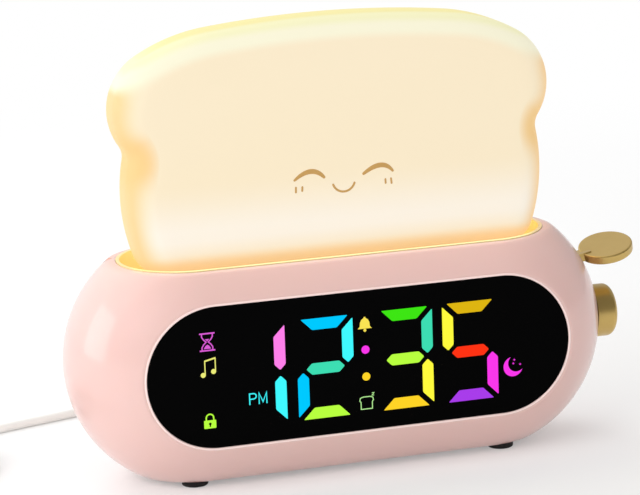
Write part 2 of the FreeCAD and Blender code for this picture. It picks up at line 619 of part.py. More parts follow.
def display_window():
    """Black acrylic panel flush in the front"""
    return front_stadium(WINDOW_LENGTH / 2 - FIT, WINDOW_HEIGHT / 2 - FIT, WINDOW_FACE_Y, WINDOW_BACK_Y)


def segment_outlines(inset):
    """The seven mitred bars of one digit around its centre, drawn in by inset"""
    a = DIGIT_WIDTH / 2
    b = DIGIT_HEIGHT / 2
    t = SEGMENT_THICK
    g = SEGMENT_GAP + inset
    e = inset
    tip = a - t / 2 - g
    bars = [
        [(-a + g + e, b - e), (a - g - e, b - e), (a - g - t + e, b - t + e), (-a + g + t - e, b - t + e)],
        [(a - e, b - g - e), (a - e, t / 2 + g), (a - t / 2, g), (a - t + e, t / 2 + g - e),
         (a - t + e, b - t - g + e)],
        [(-tip, 0), (-tip + t / 2 - e, t / 2 - e), (tip - t / 2 + e, t / 2 - e), (tip, 0),
         (tip - t / 2 + e, -t / 2 + e), (-tip + t / 2 - e, -t / 2 + e)],
    ]
    top, right, middle = bars
    return [
        top,
        right,
        [(x, -z) for x, z in right],
        [(x, -z) for x, z in top],
        [(-x, -z) for x, z in right],
        [(-x, z) for x, z in right],
        middle,
    ]


def digit_bars(inset, y0, y1):
    """All segments of the four digits as separate prisms"""
    bars = []
    for centre in DIGIT_CENTRES_X:
        for outline in segment_outlines(inset):
            points = [vec(centre + x, y0, DIGIT_Z + z) for x, z in outline]
            bars.append(prism(points, vec(0, y1 - y0, 0)))
    return bars


def indicator_places():
    """Light boxes of the small symbols: centre x, centre z, width, height"""
    return [(x, DIGIT_Z + rise, width, height) for x, rise, width, height in INDICATORS]


def indicator_blocks(inset, y0, y1):
    """The colon's two dots and the symbols' light boxes as separate prisms"""
    blocks = []
    for side in (-1, 1):
        z = DIGIT_Z + side * COLON_SPREAD / 2
        blocks.append(rod(COLON_DOT_R - inset, (COLON_X, y0, z), (COLON_X, y1, z)))
    for x, z, width, height in indicator_places():
        half_w = width / 2 - inset
        half_h = height / 2 - inset
        blocks.append(box(x - half_w, x + half_w, y0, y1, z - half_h, z + half_h))
    return blocks


def segment_mask():
    """Light-tight block with a pocket behind every segment and symbol"""
    block = box(-MASK_LENGTH / 2, MASK_LENGTH / 2, MASK_FRONT_Y, MASK_BACK_Y,
                CASE_CENTRE_Z - MASK_HEIGHT / 2, CASE_CENTRE_Z + MASK_HEIGHT / 2)
    pockets = digit_bars(0, MASK_FRONT_Y - 1, MASK_BACK_Y + 1)
    pockets += indicator_blocks(0, MASK_FRONT_Y - 1, MASK_BACK_Y + 1)
    return block.cut(pockets)


def display_leds():
    """One chip behind every segment, dot and symbol"""
    a = DIGIT_WIDTH / 2 - SEGMENT_THICK / 2
    b = DIGIT_HEIGHT / 2 - SEGMENT_THICK / 2
    spots = []
    for centre in DIGIT_CENTRES_X:
        for x, z in ((0, b), (a, b / 2), (a, -b / 2), (0, -b), (-a, -b / 2), (-a, b / 2), (0, 0)):
            spots.append((centre + x, DIGIT_Z + z))
    for side in (-1, 1):
        spots.append((COLON_X, DIGIT_Z + side * COLON_SPREAD / 2))
    spots += [(x, z) for x, z, width, height in indicator_places()]
    half = CHIP_SIZE / 3
    return [box(x - half, x + half, DISPLAY_BOARD_Y - CHIP_HEIGHT, DISPLAY_BOARD_Y, z - half, z + half)
            for x, z in spots]


def display_board():
    """Circuit board on the back of the mask"""
    board = box(-DISPLAY_BOARD_HALF, DISPLAY_BOARD_HALF, DISPLAY_BOARD_Y, DISPLAY_BOARD_Y + BOARD_THICK,
                DISPLAY_BOARD_LOW, DISPLAY_BOARD_HIGH)
    holes = [rod(SMALL_SCREW_R + FIT, (x, DISPLAY_BOARD_Y - 1, DISPLAY_SCREW_Z),
                 (x, DISPLAY_BOARD_Y + BOARD_THICK + 1, DISPLAY_SCREW_Z)) for x in (-DISPLAY_SCREW_X, DISPLAY_SCREW_X)]
    return board.cut(holes)


def tangent_point(centre_a, radius_a, centre_b):
    """The point of circle a that lies towards centre b"""
    ax, az = centre_a
    bx, bz = centre_b
    length = math.hypot(bx - ax, bz - az)
    return ax + (bx - ax) * radius_a / length, az + (bz - az) * radius_a / length


def circle_middle(centre, radius, start, end, large=False):
    """The point half way along the shorter or the longer arc from start to end"""
    cx, cz = centre
    mx = (start[0] + end[0]) / 2 - cx
    mz = (start[1] + end[1]) / 2 - cz
    length = math.hypot(mx, mz)
    sign = -1 if large else 1
    return cx + sign * mx * radius / length, cz + sign * mz * radius / length


def slice_outline(inset):
    """Half outline of the bread slice, drawn in by inset: arcs from bottom centre to top centre"""
    lobe = (LOBE_HALF - LOBE_R, LOBE_Z)
    waist = (WAIST_HALF + WAIST_R, WAIST_Z)
    gap = waist[0] - BELLY_HALF
    drop = math.sqrt((LOBE_R + WAIST_R) ** 2 - (waist[0] - lobe[0]) ** 2)
    waist = (waist[0], LOBE_Z - drop)
    rise = WAIST_Z - LAMP_BOTTOM_Z
    belly_drop = rise / 3
    belly_r = (belly_drop ** 2 + gap ** 2 - WAIST_R ** 2) / (2 * (WAIST_R - gap))
    belly = (BELLY_HALF - belly_r, waist[1] - belly_drop)
    lean = math.radians(SHOULDER_ANGLE)
    shoulder = (lobe[0] - (SHOULDER_R - LOBE_R) * math.sin(lean), lobe[1] - (SHOULDER_R - LOBE_R) * math.cos(lean))
    crown_z = shoulder[1] - math.sqrt((CROWN_R - SHOULDER_R) ** 2 - shoulder[0] ** 2)
    crown = (0.0, crown_z)
    corner_z = LAMP_BOTTOM_Z + LAMP_CORNER_R
    reach = math.sqrt((belly_r - LAMP_CORNER_R) ** 2 - (corner_z - belly[1]) ** 2)
    corner = (belly[0] + reach, corner_z)
    waist_r = WAIST_R + inset
    joins = [
        (0.0, LAMP_BOTTOM_Z + inset),
        (corner[0], LAMP_BOTTOM_Z + inset),
        tangent_point(corner, LAMP_CORNER_R - inset, (2 * corner[0] - belly[0], 2 * corner[1] - belly[1])),
        tangent_point(waist, waist_r, belly),
        tangent_point(waist, waist_r, lobe),
        tangent_point(lobe, LOBE_R - inset, (2 * lobe[0] - shoulder[0], 2 * lobe[1] - shoulder[1])),
        tangent_point(shoulder, SHOULDER_R - inset, (2 * shoulder[0] - crown[0], 2 * shoulder[1] - crown[1])),
        (0.0, crown_z + CROWN_R - inset),
    ]
    arcs = [
        None,
        (corner, LAMP_CORNER_R - inset),
        (belly, belly_r - inset),
        (waist, waist_r),
        (lobe, LOBE_R - inset),
        (shoulder, SHOULDER_R - inset),
        (crown, CROWN_R - inset),
    ]
    return joins, arcs


def slice_block(inset, edge_r):
    """The bread slice as a solid with rounded edges, drawn in by inset on every side"""
    joins, arcs = slice_outline(inset)
    y = LAMP_Y - LAMP_THICK / 2 + inset
    edges = []
    for side in (1, -1):
        for start, end, arc in zip(joins, joins[1:], arcs):
            a = vec(side * start[0], y, start[1])
            b = vec(side * end[0], y, end[1])
            if arc is None:
                edges.append(Part.LineSegment(a, b).toShape())
            else:
                mx, mz = circle_middle(arc[0], arc[1], start, end)
                edges.append(Part.Arc(a, vec(side * mx, y, mz), b).toShape())
    wire = Part.Wire(Part.__sortEdges__(edges))
    block = Part.Face(wire).extrude(vec(0, LAMP_THICK - 2 * inset, 0))
    rims = [e for e in block.Edges if abs(e.BoundBox.YMax - e.BoundBox.YMin) < 0.01]
    return block.makeFillet(edge_r, rims)


def lamp_diffuser():
    """Hollow soft slice with an opening in its bottom for the neck"""
    outer = slice_block(0, LAMP_EDGE_R)
    inner = slice_block(LAMP_WALL, LAMP_EDGE_R - LAMP_WALL)
    mouth = top_stadium(NECK_HALF + FIT, NECK_WIDTH / 2 + FIT, LAMP_BOTTOM_Z - 1, FLANGE_Z, LAMP_Y)
    return outer.cut([inner, mouth])


def lamp_base():
    """Hollow neck with the flange that the soft slice buttons over"""
    neck = top_stadium(NECK_HALF, NECK_WIDTH / 2, CARRIAGE_TOP_Z, BASE_TOP_Z, LAMP_Y)
    flange = top_stadium(NECK_HALF + BASE_FLANGE_LIP, FLANGE_HALF_WIDTH, FLANGE_Z, BASE_TOP_Z, LAMP_Y)
    bore = top_stadium(NECK_HALF - NECK_WALL, NECK_WIDTH / 2 - NECK_WALL,
                       CARRIAGE_TOP_Z - 1, BASE_TOP_Z - BASE_FLANGE_THICK, LAMP_Y)
    bosses = []
    holes = []
    for side in (-1, 1):
        x = side * (NECK_HALF - NECK_WIDTH / 2)
        bosses.append(rod(POST_R, (x, LAMP_Y, CARRIAGE_TOP_Z), (x, LAMP_Y, BASE_TOP_Z - 0.5)))
        holes.append(rod(SMALL_SCREW_R + PRESS, (x, LAMP_Y, CARRIAGE_TOP_Z - 1), (x, LAMP_Y, CARRIAGE_TOP_Z + 6)))
    wire_hole = rod(NECK_WIDTH / 5, (0, LAMP_Y, FLANGE_Z - 2), (0, LAMP_Y, BASE_TOP_Z + 1))
    return neck.fuse(flange).cut(bore).fuse(bosses).cut(holes + [wire_hole]).removeSplitter()


def lamp_carriage():
    """Plate under the liner that rides on the guide pillars and presses the snooze switch"""
    plate = top_stadium(CARRIAGE_HALF, CARRIAGE_WIDTH / 2, CARRIAGE_Z, CARRIAGE_TOP_Z, LAMP_Y)
    striker = rod(STRIKER_R, (0, LAMP_Y, SNOOZE_TIP_Z + LAMP_TRAVEL + SEAT), (0, LAMP_Y, CARRIAGE_Z + 0.5))
    cuts = []
    for side in (-1, 1):
        x = side * GUIDE_X
        cuts.append(rod(GUIDE_R + RUNNING, (x, LAMP_Y, CARRIAGE_Z - 1), (x, LAMP_Y, CARRIAGE_TOP_Z + 1)))
        x = side * (NECK_HALF - NECK_WIDTH / 2)
        cuts.append(rod(SMALL_SCREW_R + FIT, (x, LAMP_Y, CARRIAGE_Z - 1), (x, LAMP_Y, CARRIAGE_TOP_Z + 1)))
    return plate.fuse(striker).cut(cuts).removeSplitter()


def lamp_frame():
    """Plate screwed under the guide pillars, with spring spigots"""
    plate = top_stadium(CARRIAGE_HALF, FRAME_WIDTH / 2, FRAME_Z, FRAME_TOP_Z, LAMP_Y)
    adds = []
    cuts = []
    for side in (-1, 1):
        x = side * GUIDE_X
        adds.append(rod(GUIDE_R, (x, LAMP_Y, FRAME_TOP_Z - 0.5), (x, LAMP_Y, GUIDE_END_Z)))
        cuts.append(rod(SMALL_SCREW_R + FIT, (x, LAMP_Y, FRAME_Z - 1), (x, LAMP_Y, GUIDE_END_Z + 1)))
        x = side * LAMP_SPRING_X
        spigot_r = LAMP_SPRING_R - LAMP_SPRING_WIRE - SEAT
        adds.append(rod(spigot_r, (x, LAMP_Y, FRAME_TOP_Z - 0.5), (x, LAMP_Y, FRAME_TOP_Z + 3)))
    return plate.fuse(adds).cut(cuts).removeSplitter()


def arc_through(a, tangent, b):
    """The arc that leaves a along tangent and ends at b, and its direction there"""
    chord = b - a
    along = chord.dot(tangent)
    side = chord - tangent * along
    if side.Length < 1e-6 * chord.Length:
        return Part.LineSegment(a, b).toShape(), tangent
    radius = chord.Length ** 2 / (2 * side.Length)
    side.normalize()
    centre = a + side * radius
    middle_way = ((a - centre) + (b - centre))
    if along < 0:
        middle_way = middle_way * -1
    middle = centre + middle_way.normalize() * radius
    unit = chord * (1 / chord.Length)
    return Part.Arc(a, middle, b).toShape(), unit * (2 * unit.dot(tangent)) - tangent


def biarc(a, tangent_a, b, tangent_b):
    """Two arcs from a to b that meet smoothly and keep both end directions"""
    v = b - a
    t = tangent_a + tangent_b
    k = 2 * (1 - tangent_a.dot(tangent_b))
    vt = v.dot(t)
    if k < 1e-9:
        d = v.dot(v) / (4 * v.dot(tangent_b))
    else:
        d = (-vt + math.sqrt(vt * vt + 2 * (1 - tangent_a.dot(tangent_b)) * v.dot(v))) / k
    joint = ((a + tangent_a * d) + (b - tangent_b * d)) * 0.5
    first, direction = arc_through(a, tangent_a, joint)
    second, direction = arc_through(joint, direction, b)
    return [first, second]


def wound_edges(place, steps, start_direction=None, end_direction=None):
    """Smooth arcs through place(0) to place(steps), with directions from the curve itself"""
    small = 1e-4
    points = [place(i) for i in range(steps + 1)]
    directions = [(place(i + small) - place(i - small)).normalize() for i in range(steps + 1)]
    if start_direction is not None:
        directions[0] = start_direction
    if end_direction is not None:
        directions[-1] = end_direction
    edges = []
    for i in range(steps):
        edges += biarc(points[i], directions[i], points[i + 1], directions[i + 1])
    return edges, directions


def swept_round(edges, radius, sides=0):
    """A round or many-sided tube along a chain of edges"""
    spine = Part.Wire(edges)
    first = edges[0]
    start = first.valueAt(first.FirstParameter)
    direction = first.tangentAt(first.FirstParameter)
    if sides:
        place = FreeCAD.Placement(start, FreeCAD.Rotation(vec(0, 0, 1), direction))
        ring = [place.multVec(vec(radius * math.cos(2 * math.pi * k / sides),
                                  radius * math.sin(2 * math.pi * k / sides), 0)) for k in range(sides)]
        profile = Part.makePolygon(ring + [ring[0]])
    else:
        profile = Part.Wire(Part.makeCircle(radius, start, direction))
    return spine.makePipeShell([profile], True, False)


def compression_spring(x, y, z0, z1, mean_r, wire_r, turns):
    """A coil spring standing between two heights"""
    steps = turns * 4
    rise = (z1 - z0 - 2 * wire_r) / steps

    def place(i):
        angle = math.pi / 2 * i
        return vec(x + mean_r * math.cos(angle), y + mean_r * math.sin(angle), z0 + wire_r + rise * i)

    edges, directions = wound_edges(place, steps)
    return swept_round(edges, wire_r, 6)


def lamp_springs():
    """Two coil springs that lift the lamp after a press"""
    return [compression_spring(side * LAMP_SPRING_X, LAMP_Y, FRAME_TOP_Z, CARRIAGE_Z,
                               LAMP_SPRING_R, LAMP_SPRING_WIRE, LAMP_SPRING_TURNS) for side in (-1, 1)]


def lamp_board():
    """LED strip board on the base flange"""
    half = NECK_HALF - 1
    width = NECK_WIDTH / 2 - 1
    return box(-half, half, LAMP_Y - width, LAMP_Y + width, BASE_TOP_Z, BASE_TOP_Z + BOARD_THICK)


def lamp_leds():
    """Row of LEDs that light the slice from below"""
    half = CHIP_SIZE / 2
    z = BASE_TOP_Z + BOARD_THICK
    chips = []
    for i in range(LAMP_LED_COUNT):
        x = (i - (LAMP_LED_COUNT - 1) / 2) * LAMP_LED_PITCH
        chips.append(box(x - half, x + half, LAMP_Y - half, LAMP_Y + half, z, z + CHIP_HEIGHT))
    return chips


def tact_switch(base, direction):
    """A small push switch standing on base, with its plunger along direction"""
    body = Part.makeBox(SWITCH_SIZE, SWITCH_SIZE, SWITCH_BODY, vec(-SWITCH_SIZE / 2, -SWITCH_SIZE / 2, 0))
    plunger = Part.makeCylinder(SWITCH_PLUNGER_R, SWITCH_PLUNGER + 0.5, vec(0, 0, SWITCH_BODY - 0.5))
    switch = body.fuse(plunger)
    switch.Placement = FreeCAD.Placement(vec(*base), FreeCAD.Rotation(vec(0, 0, 1), vec(*direction)))
    return switch


def side_lever():
    """Canted round paddle, cranked arm, hub on the pin and the leg that presses the switch"""
    disc = Part.makeCylinder(LEVER_DISC_R, LEVER_DISC_THICK, vec(0, 0, -LEVER_DISC_THICK / 2))
    disc = disc.makeFillet(LEVER_EDGE_R, [e for e in disc.Edges if e.Closed and e.Length > LEVER_DISC_R])
    turn = FreeCAD.Rotation(vec(0, 1, 0), -LEVER_TILT) * FreeCAD.Rotation(vec(1, 0, 0), LEVER_CANT)
    disc.Placement = FreeCAD.Placement(vec(LEVER_DISC_X, 0, LEVER_DISC_Z), turn)
    half = LEVER_BAR_WIDTH / 2
    up = LEVER_BAR / 2 / math.cos(math.radians(LEVER_TILT))
    tip_x = LEVER_DISC_X - LEVER_DISC_R + 3

    def bar_z(x):
        return LEVER_DISC_Z + (x - LEVER_DISC_X) * LEVER_SLOPE

    neck = prism([vec(LEVER_ELBOW_X - 1.5, -half, bar_z(LEVER_ELBOW_X - 1.5) - up), vec(tip_x, -half, bar_z(tip_x) - up),
                  vec(tip_x, -half, bar_z(tip_x) + up), vec(LEVER_ELBOW_X - 1.5, -half, bar_z(LEVER_ELBOW_X - 1.5) + up)],
                 vec(0, 2 * half, 0))
    elbow_z = bar_z(LEVER_ELBOW_X)
    run_x = LEVER_ELBOW_X - LEVER_PIVOT_X
    run_z = elbow_z - LEVER_PIVOT_Z
    length = math.hypot(run_x, run_z)
    nx = -run_z / length * LEVER_BAR / 2
    nz = run_x / length * LEVER_BAR / 2
    hub_low = LEVER_HUB_FRONT
    arm = prism([vec(LEVER_PIVOT_X + nx, hub_low, LEVER_PIVOT_Z + nz), vec(LEVER_PIVOT_X - nx, hub_low, LEVER_PIVOT_Z - nz),
                 vec(LEVER_ELBOW_X - nx, hub_low, elbow_z - nz), vec(LEVER_ELBOW_X + nx, hub_low, elbow_z + nz)],
                vec(0, LEVER_HUB_REAR - hub_low, 0))
    web = rod(LEVER_BAR / 2, (LEVER_ELBOW_X, hub_low, elbow_z), (LEVER_ELBOW_X, half, elbow_z))
    hub = rod(LEVER_HUB_R, (LEVER_PIVOT_X, hub_low, LEVER_PIVOT_Z), (LEVER_PIVOT_X, LEVER_HUB_REAR, LEVER_PIVOT_Z))
    leg = box(LEVER_PIVOT_X - LEVER_LEG_THICK / 2, LEVER_PIVOT_X + LEVER_LEG_THICK / 2, hub_low, LEVER_HUB_REAR,
              LEVER_PIVOT_Z - LEVER_LEG, LEVER_PIVOT_Z)
    bore = rod(LEVER_PIN_R + RUNNING, (LEVER_PIVOT_X, -9, LEVER_PIVOT_Z), (LEVER_PIVOT_X, 9, LEVER_PIVOT_Z))
    return disc.fuse([neck, arm, web, hub, leg]).cut(bore).removeSplitter()


def lever_pin():
    """Steel pin that the lever turns on"""
    reach = EAR_INNER + EAR_THICK + 0.6
    return rod(LEVER_PIN_R, (LEVER_PIVOT_X, -reach, LEVER_PIVOT_Z), (LEVER_PIVOT_X, reach, LEVER_PIVOT_Z))


def lever_bracket():
    """Bracket on the front plate with two ears for the pin"""
    wall = box(BRACKET_X, BRACKET_X + BRACKET_THICK, BRACKET_FOOT_Y, BRACKET_REAR_Y, BRACKET_LOW, BRACKET_HIGH)
    foot = box(BRACKET_X, BRACKET_FOOT_X, BRACKET_FOOT_Y, BRACKET_FOOT_Y + BRACKET_THICK, BRACKET_LOW, BRACKET_HIGH)
    adds = [foot]
    cuts = [rod(LEVER_PIN_R + PRESS, (LEVER_PIVOT_X, -9, LEVER_PIVOT_Z), (LEVER_PIVOT_X, 9, LEVER_PIVOT_Z))]
    for y in (-EAR_INNER - EAR_THICK, EAR_INNER):
        adds.append(box(BRACKET_X, LEVER_PIVOT_X + LEVER_HUB_R, y, y + EAR_THICK, BRACKET_EAR_LOW, BRACKET_EAR_HIGH))
        adds.append(rod(LEVER_HUB_R, (LEVER_PIVOT_X, y, LEVER_PIVOT_Z), (LEVER_PIVOT_X, y + EAR_THICK, LEVER_PIVOT_Z)))
    ear_wall = box(BRACKET_X, BRACKET_X + BRACKET_THICK, -EAR_INNER - EAR_THICK, EAR_INNER + EAR_THICK,
                   BRACKET_LOW, BRACKET_EAR_HIGH)
    adds.append(ear_wall)
    for z in BRACKET_SCREW_Z:
        cuts.append(rod(SMALL_SCREW_R + FIT, (BRACKET_SCREW_X, BRACKET_FOOT_Y - 1, z),
                        (BRACKET_SCREW_X, BRACKET_FOOT_Y + BRACKET_THICK + 1, z)))
    return wall.fuse(adds).cut(cuts).removeSplitter()


def lever_spring():
    """Torsion spring round the pin beside the hub"""
    y0 = LEVER_HUB_REAR + SEAT
    y1 = EAR_INNER - SEAT / 2
    steps = LEVER_SPRING_TURNS * 4
    rise = (y1 - y0 - 2 * LEVER_SPRING_WIRE) / steps

    def place(i):
        angle = math.pi / 2 * i
        return vec(LEVER_PIVOT_X + LEVER_SPRING_R * math.cos(angle), y0 + LEVER_SPRING_WIRE + rise * i,
                   LEVER_PIVOT_Z - LEVER_SPRING_R * math.sin(angle))

    edges, directions = wound_edges(place, steps)
    return swept_round(edges, LEVER_SPRING_WIRE, 6)


def lever_switch():
    """Push switch on the bracket, facing the lever's leg"""
    z = LEVER_PIVOT_Z - LEVER_LEG + SWITCH_PLUNGER_R + 0.4
    base_x = LEVER_SWITCH_TIP_X - SWITCH_BODY - SWITCH_PLUNGER
    y = (LEVER_HUB_FRONT + LEVER_HUB_REAR) / 2
    switch = tact_switch((base_x, y, z), (1, 0, 0))
    backing = box(BRACKET_X + BRACKET_THICK, base_x + 0.2, y - 2, y + 2, z - 2, z + 2)
    return switch.fuse(backing)


def knob():
    """Hollow turned knob with a D bore"""
    z = CASE_CENTRE_Z
    cap = rod(KNOB_R, (KNOB_BACK_X, 0, z), (KNOB_END_X, 0, z))
    end = [e for e in cap.Edges if e.Closed and abs(e.BoundBox.XMin - KNOB_END_X) < 0.01]
    cap = cap.makeFillet(KNOB_EDGE_R, end)
    hollow = rod(KNOB_R - KNOB_WALL, (KNOB_BACK_X - 1, 0, z), (KNOB_END_X - KNOB_CAP, 0, z))
    hub = rod(KNOB_HUB_R, (KNOB_BACK_X, 0, z), (KNOB_END_X - KNOB_CAP + 0.5, 0, z))
    return cap.cut(hollow).fuse(hub).cut(shaft_body(PRESS, KNOB_END_X - 1.2)).removeSplitter()


def shaft_body(grow, end_x):
    """The encoder's D shaft, grown by a clearance"""
    z = CASE_CENTRE_Z
    start_x = PLUNGER_X + PLUNGER_THICK + SEAT
    shaft = rod(SHAFT_R + grow, (start_x, 0, z), (end_x, 0, z))
    flat = box(KNOB_BACK_X + 0.6 - grow, end_x + 1, -SHAFT_R - 1, SHAFT_R + 1, z + SHAFT_FLAT + grow, z + SHAFT_R + 1)
    return shaft.cut(flat)


def encoder_body():
    """Rotary encoder housing and bush"""
    z = CASE_CENTRE_Z
    half = ENCODER_SIZE / 2
    block = box(ENCODER_BACK_X, ENCODER_FACE_X, -half, half, z - half, z + half)
    bush = rod(BUSH_R, (ENCODER_FACE_X - 0.5, 0, z), (KNOB_FLOOR_X - FIT, 0, z))
    bore = rod(SHAFT_R + RUNNING, (ENCODER_BACK_X + ENCODER_BACK_WALL, 0, z), (KNOB_FLOOR_X + 1, 0, z))
    return block.fuse(bush).cut(bore)


def encoder_plunger():
    """Disc behind the shaft that a push on the knob moves"""
    return rod(SHAFT_R, (PLUNGER_X, 0, CASE_CENTRE_Z), (PLUNGER_X + PLUNGER_THICK, 0, CASE_CENTRE_Z))


def encoder_board():
    """Small board behind the encoder"""
    half = ENCODER_BOARD_SIZE / 2
    z = CASE_CENTRE_Z
    board = box(ENCODER_BACK_X - BOARD_THICK, ENCODER_BACK_X, -half / 1.5, half / 1.5, z - half - 1, z + half + 1)
    holes = [rod(SMALL_SCREW_R + FIT, (ENCODER_BACK_X - BOARD_THICK - 1, 0, z + s * ENCODER_SCREW_SPREAD),
                 (ENCODER_BACK_X + 1, 0, z + s * ENCODER_SCREW_SPREAD)) for s in (-1, 1)]
    return board.cut(holes)


def main_board():
    """Main circuit board on the rear cover's posts"""
    board = box(MAIN_BOARD_LEFT, MAIN_BOARD_RIGHT, MAIN_BOARD_Y, MAIN_BOARD_REAR_Y, MAIN_BOARD_LOW, MAIN_BOARD_HIGH)
    holes = [rod(SMALL_SCREW_R + FIT, (x, MAIN_BOARD_Y - 1, z), (x, MAIN_BOARD_REAR_Y + 1, z)) for x, z in MAIN_POSTS]
    door_post = rod(POST_R + MOVING, (BAY_X + DOOR_SCREW_DX, MAIN_BOARD_Y - 1, BAY_Z),
                    (BAY_X + DOOR_SCREW_DX, MAIN_BOARD_REAR_Y + 1, BAY_Z))
    return board.cut(holes + [door_post])


def board_chips():
    """Controller and driver packages on the inner side of the main board"""
    return [box(x - w / 2, x + w / 2, MAIN_BOARD_Y - PACKAGE_THICK, MAIN_BOARD_Y, z - h / 2, z + h / 2)
            for x, z, w, h in ((MAIN_BOARD_LEFT + 28, CASE_CENTRE_Z - 3, CONTROLLER_SIZE, CONTROLLER_SIZE),
                               (MAIN_BOARD_RIGHT - 26, CASE_CENTRE_Z + 4, 8.0, 5.0),
                               (MAIN_BOARD_RIGHT - 20, CASE_CENTRE_Z - 10, 6.0, 5.0))]


def rear_button(x, z):
    """One rear button cap: crowned head, retaining flange and stem"""
    face_y = REAR_FLAT + BUTTON_PROUD
    flange_y = COVER_INNER_Y - SEAT
    head = rod(BUTTON_R, (x, flange_y - 0.5, z), (x, face_y, z))
    rim = [e for e in head.Edges if e.Closed and abs(e.BoundBox.YMin - face_y) < 0.01]
    head = head.makeFillet(0.5, rim)
    flange = rod(BUTTON_FLANGE_R, (x, flange_y - BUTTON_FLANGE_THICK, z), (x, flange_y, z))
    switch_tip = MAIN_BOARD_REAR_Y + SWITCH_BODY + SWITCH_PLUNGER
    stem = rod(BUTTON_STEM_R, (x, switch_tip + BUTTON_TRAVEL + SEAT, z), (x, flange_y, z))
    return head.fuse([flange, stem])


def button_switches():
    """Push switches behind the rear buttons"""
    return [tact_switch((x, MAIN_BOARD_REAR_Y, z), (0, 1, 0)) for x, z in BUTTON_PLACES]


def revolved_y(points, x, z):
    """A profile of (radius, y) points turned about a front-to-back axis"""
    outline = [vec(x + r, y, z) for r, y in points]
    face = Part.Face(Part.makePolygon(outline + [outline[0]]))
    return face.revolve(vec(x, 0, z), vec(0, 1, 0), 360)


def speaker_basket():
    """Pressed steel basket with a flat rim and a stepped back"""
    y = COVER_INNER_Y - FIT
    r = SPEAKER_R
    back = y - SPEAKER_DEPTH - SPEAKER_RIM_THICK
    basket = revolved_y([
        (r - SPEAKER_RIM, y), (r, y), (r, y - SPEAKER_RIM_THICK), (r - SPEAKER_RIM + 1, y - SPEAKER_RIM_THICK),
        (MAGNET_R + 1.2, back), (MAGNET_R - 2, back), (MAGNET_R - 2, back + 0.8), (MAGNET_R + 0.6, back + 0.8),
        (r - SPEAKER_RIM, y - SPEAKER_RIM_THICK)], SPEAKER_X, CASE_CENTRE_Z)
    ears = [rod(POST_R, (x, y - SPEAKER_RIM_THICK, z), (x, y, z)) for x, z in speaker_ear_places()]
    throat = rod(r - SPEAKER_RIM, (SPEAKER_X, y - SPEAKER_RIM_THICK, CASE_CENTRE_Z), (SPEAKER_X, y, CASE_CENTRE_Z))
    holes = [rod(SMALL_SCREW_R + FIT, (x, y - 2, z), (x, y + 1, z)) for x, z in speaker_ear_places()]
    return basket.fuse([ear.cut(throat) for ear in ears]).cut(holes).removeSplitter()


def speaker_cone():
    """Paper cone with its rolled surround and dust cap"""
    y = COVER_INNER_Y - FIT
    r = SPEAKER_R - SPEAKER_RIM - SEAT
    return revolved_y([
        (0, y - 2.4), (2.5, y - 2.8), (4.4, y - 3.9), (r - 3.6, y - 1.2), (r - 1.8, y - 0.3), (r, y - 0.6),
        (r, y - 0.9), (r - 1.8, y - 0.7), (r - 3.4, y - 1.6), (4.6, y - 4.5), (2.6, y - 3.4), (0, y - 3.0)],
        SPEAKER_X, CASE_CENTRE_Z)


def speaker_magnet():
    """Ferrite magnet on the back of the basket"""
    back = COVER_INNER_Y - FIT - SPEAKER_DEPTH - SPEAKER_RIM_THICK
    return rod(MAGNET_R, (SPEAKER_X, back - MAGNET_THICK, CASE_CENTRE_Z), (SPEAKER_X, back, CASE_CENTRE_Z))


def battery_door():
    """Cell bay door with a screw at one side"""
    z0 = BAY_Z - BAY_HEIGHT / 2 + MOVING
    z1 = BAY_Z + BAY_HEIGHT / 2 - MOVING
    door = box(BAY_X - BAY_LENGTH / 2 + MOVING, BAY_X + BAY_LENGTH / 2 - MOVING, REAR_FLAT - DOOR_THICK, REAR_FLAT, z0, z1)
    hole = rod(SMALL_SCREW_R + FIT, (BAY_X + DOOR_SCREW_DX, REAR_FLAT - DOOR_THICK - 1, BAY_Z),
               (BAY_X + DOOR_SCREW_DX, REAR_FLAT + 1, BAY_Z))
    sink = rod(SMALL_HEAD_R + FIT, (BAY_X + DOOR_SCREW_DX, REAR_FLAT - SMALL_HEAD_THICK, BAY_Z),
               (BAY_X + DOOR_SCREW_DX, REAR_FLAT + 1, BAY_Z))
    return door.cut([hole, sink])


def coin_cell():
    """Button cell in the bay: can and smaller cap"""
    x = BAY_X + CELL_DX
    y = REAR_FLAT - BAY_DEPTH + SEAT
    can = rod(CELL_R, (x, y + 0.6, BAY_Z), (x, y + CELL_THICK, BAY_Z))
    cap = rod(CELL_R - 1.2, (x, y, BAY_Z), (x, y + 1.0, BAY_Z))
    return can.fuse(cap)


def power_jack():
    """Round power socket with its nose in the rear cover's hole"""
    half = JACK_SIZE / 2
    body = box(JACK_X - half, JACK_X + half, MAIN_BOARD_REAR_Y, COVER_INNER_Y - SEAT, JACK_Z - half, JACK_Z + half)
    nose = rod(JACK_NOSE_R, (JACK_X, COVER_INNER_Y - 1, JACK_Z), (JACK_X, JACK_NOSE_Y, JACK_Z))
    bore = rod(JACK_BORE_R, (JACK_X, JACK_NOSE_Y - JACK_BORE_DEPTH, JACK_Z), (JACK_X, JACK_NOSE_Y + 1, JACK_Z))
    return body.fuse(nose).cut(bore)


def power_plug():
    """Barrel plug on the lead: contact barrel, grip and tapered strain relief"""
    start = REAR_FLAT + PLUG_GAP
    x = JACK_X
    z = JACK_Z
    barrel = rod(JACK_BORE_R - FIT, (x, JACK_NOSE_Y - JACK_BORE_DEPTH + 0.5, z), (x, start + 0.5, z))
    grip = rod(PLUG_R, (x, start, z), (x, start + PLUG_LENGTH, z))
    grip = grip.makeFillet(0.8, [e for e in grip.Edges if e.Closed])
    relief = Part.makeCone(RELIEF_R + 0.7, RELIEF_R - 0.3, RELIEF_LENGTH, vec(x, start + PLUG_LENGTH - 0.5, z), vec(0, 1, 0))
    return barrel.fuse([grip, relief])


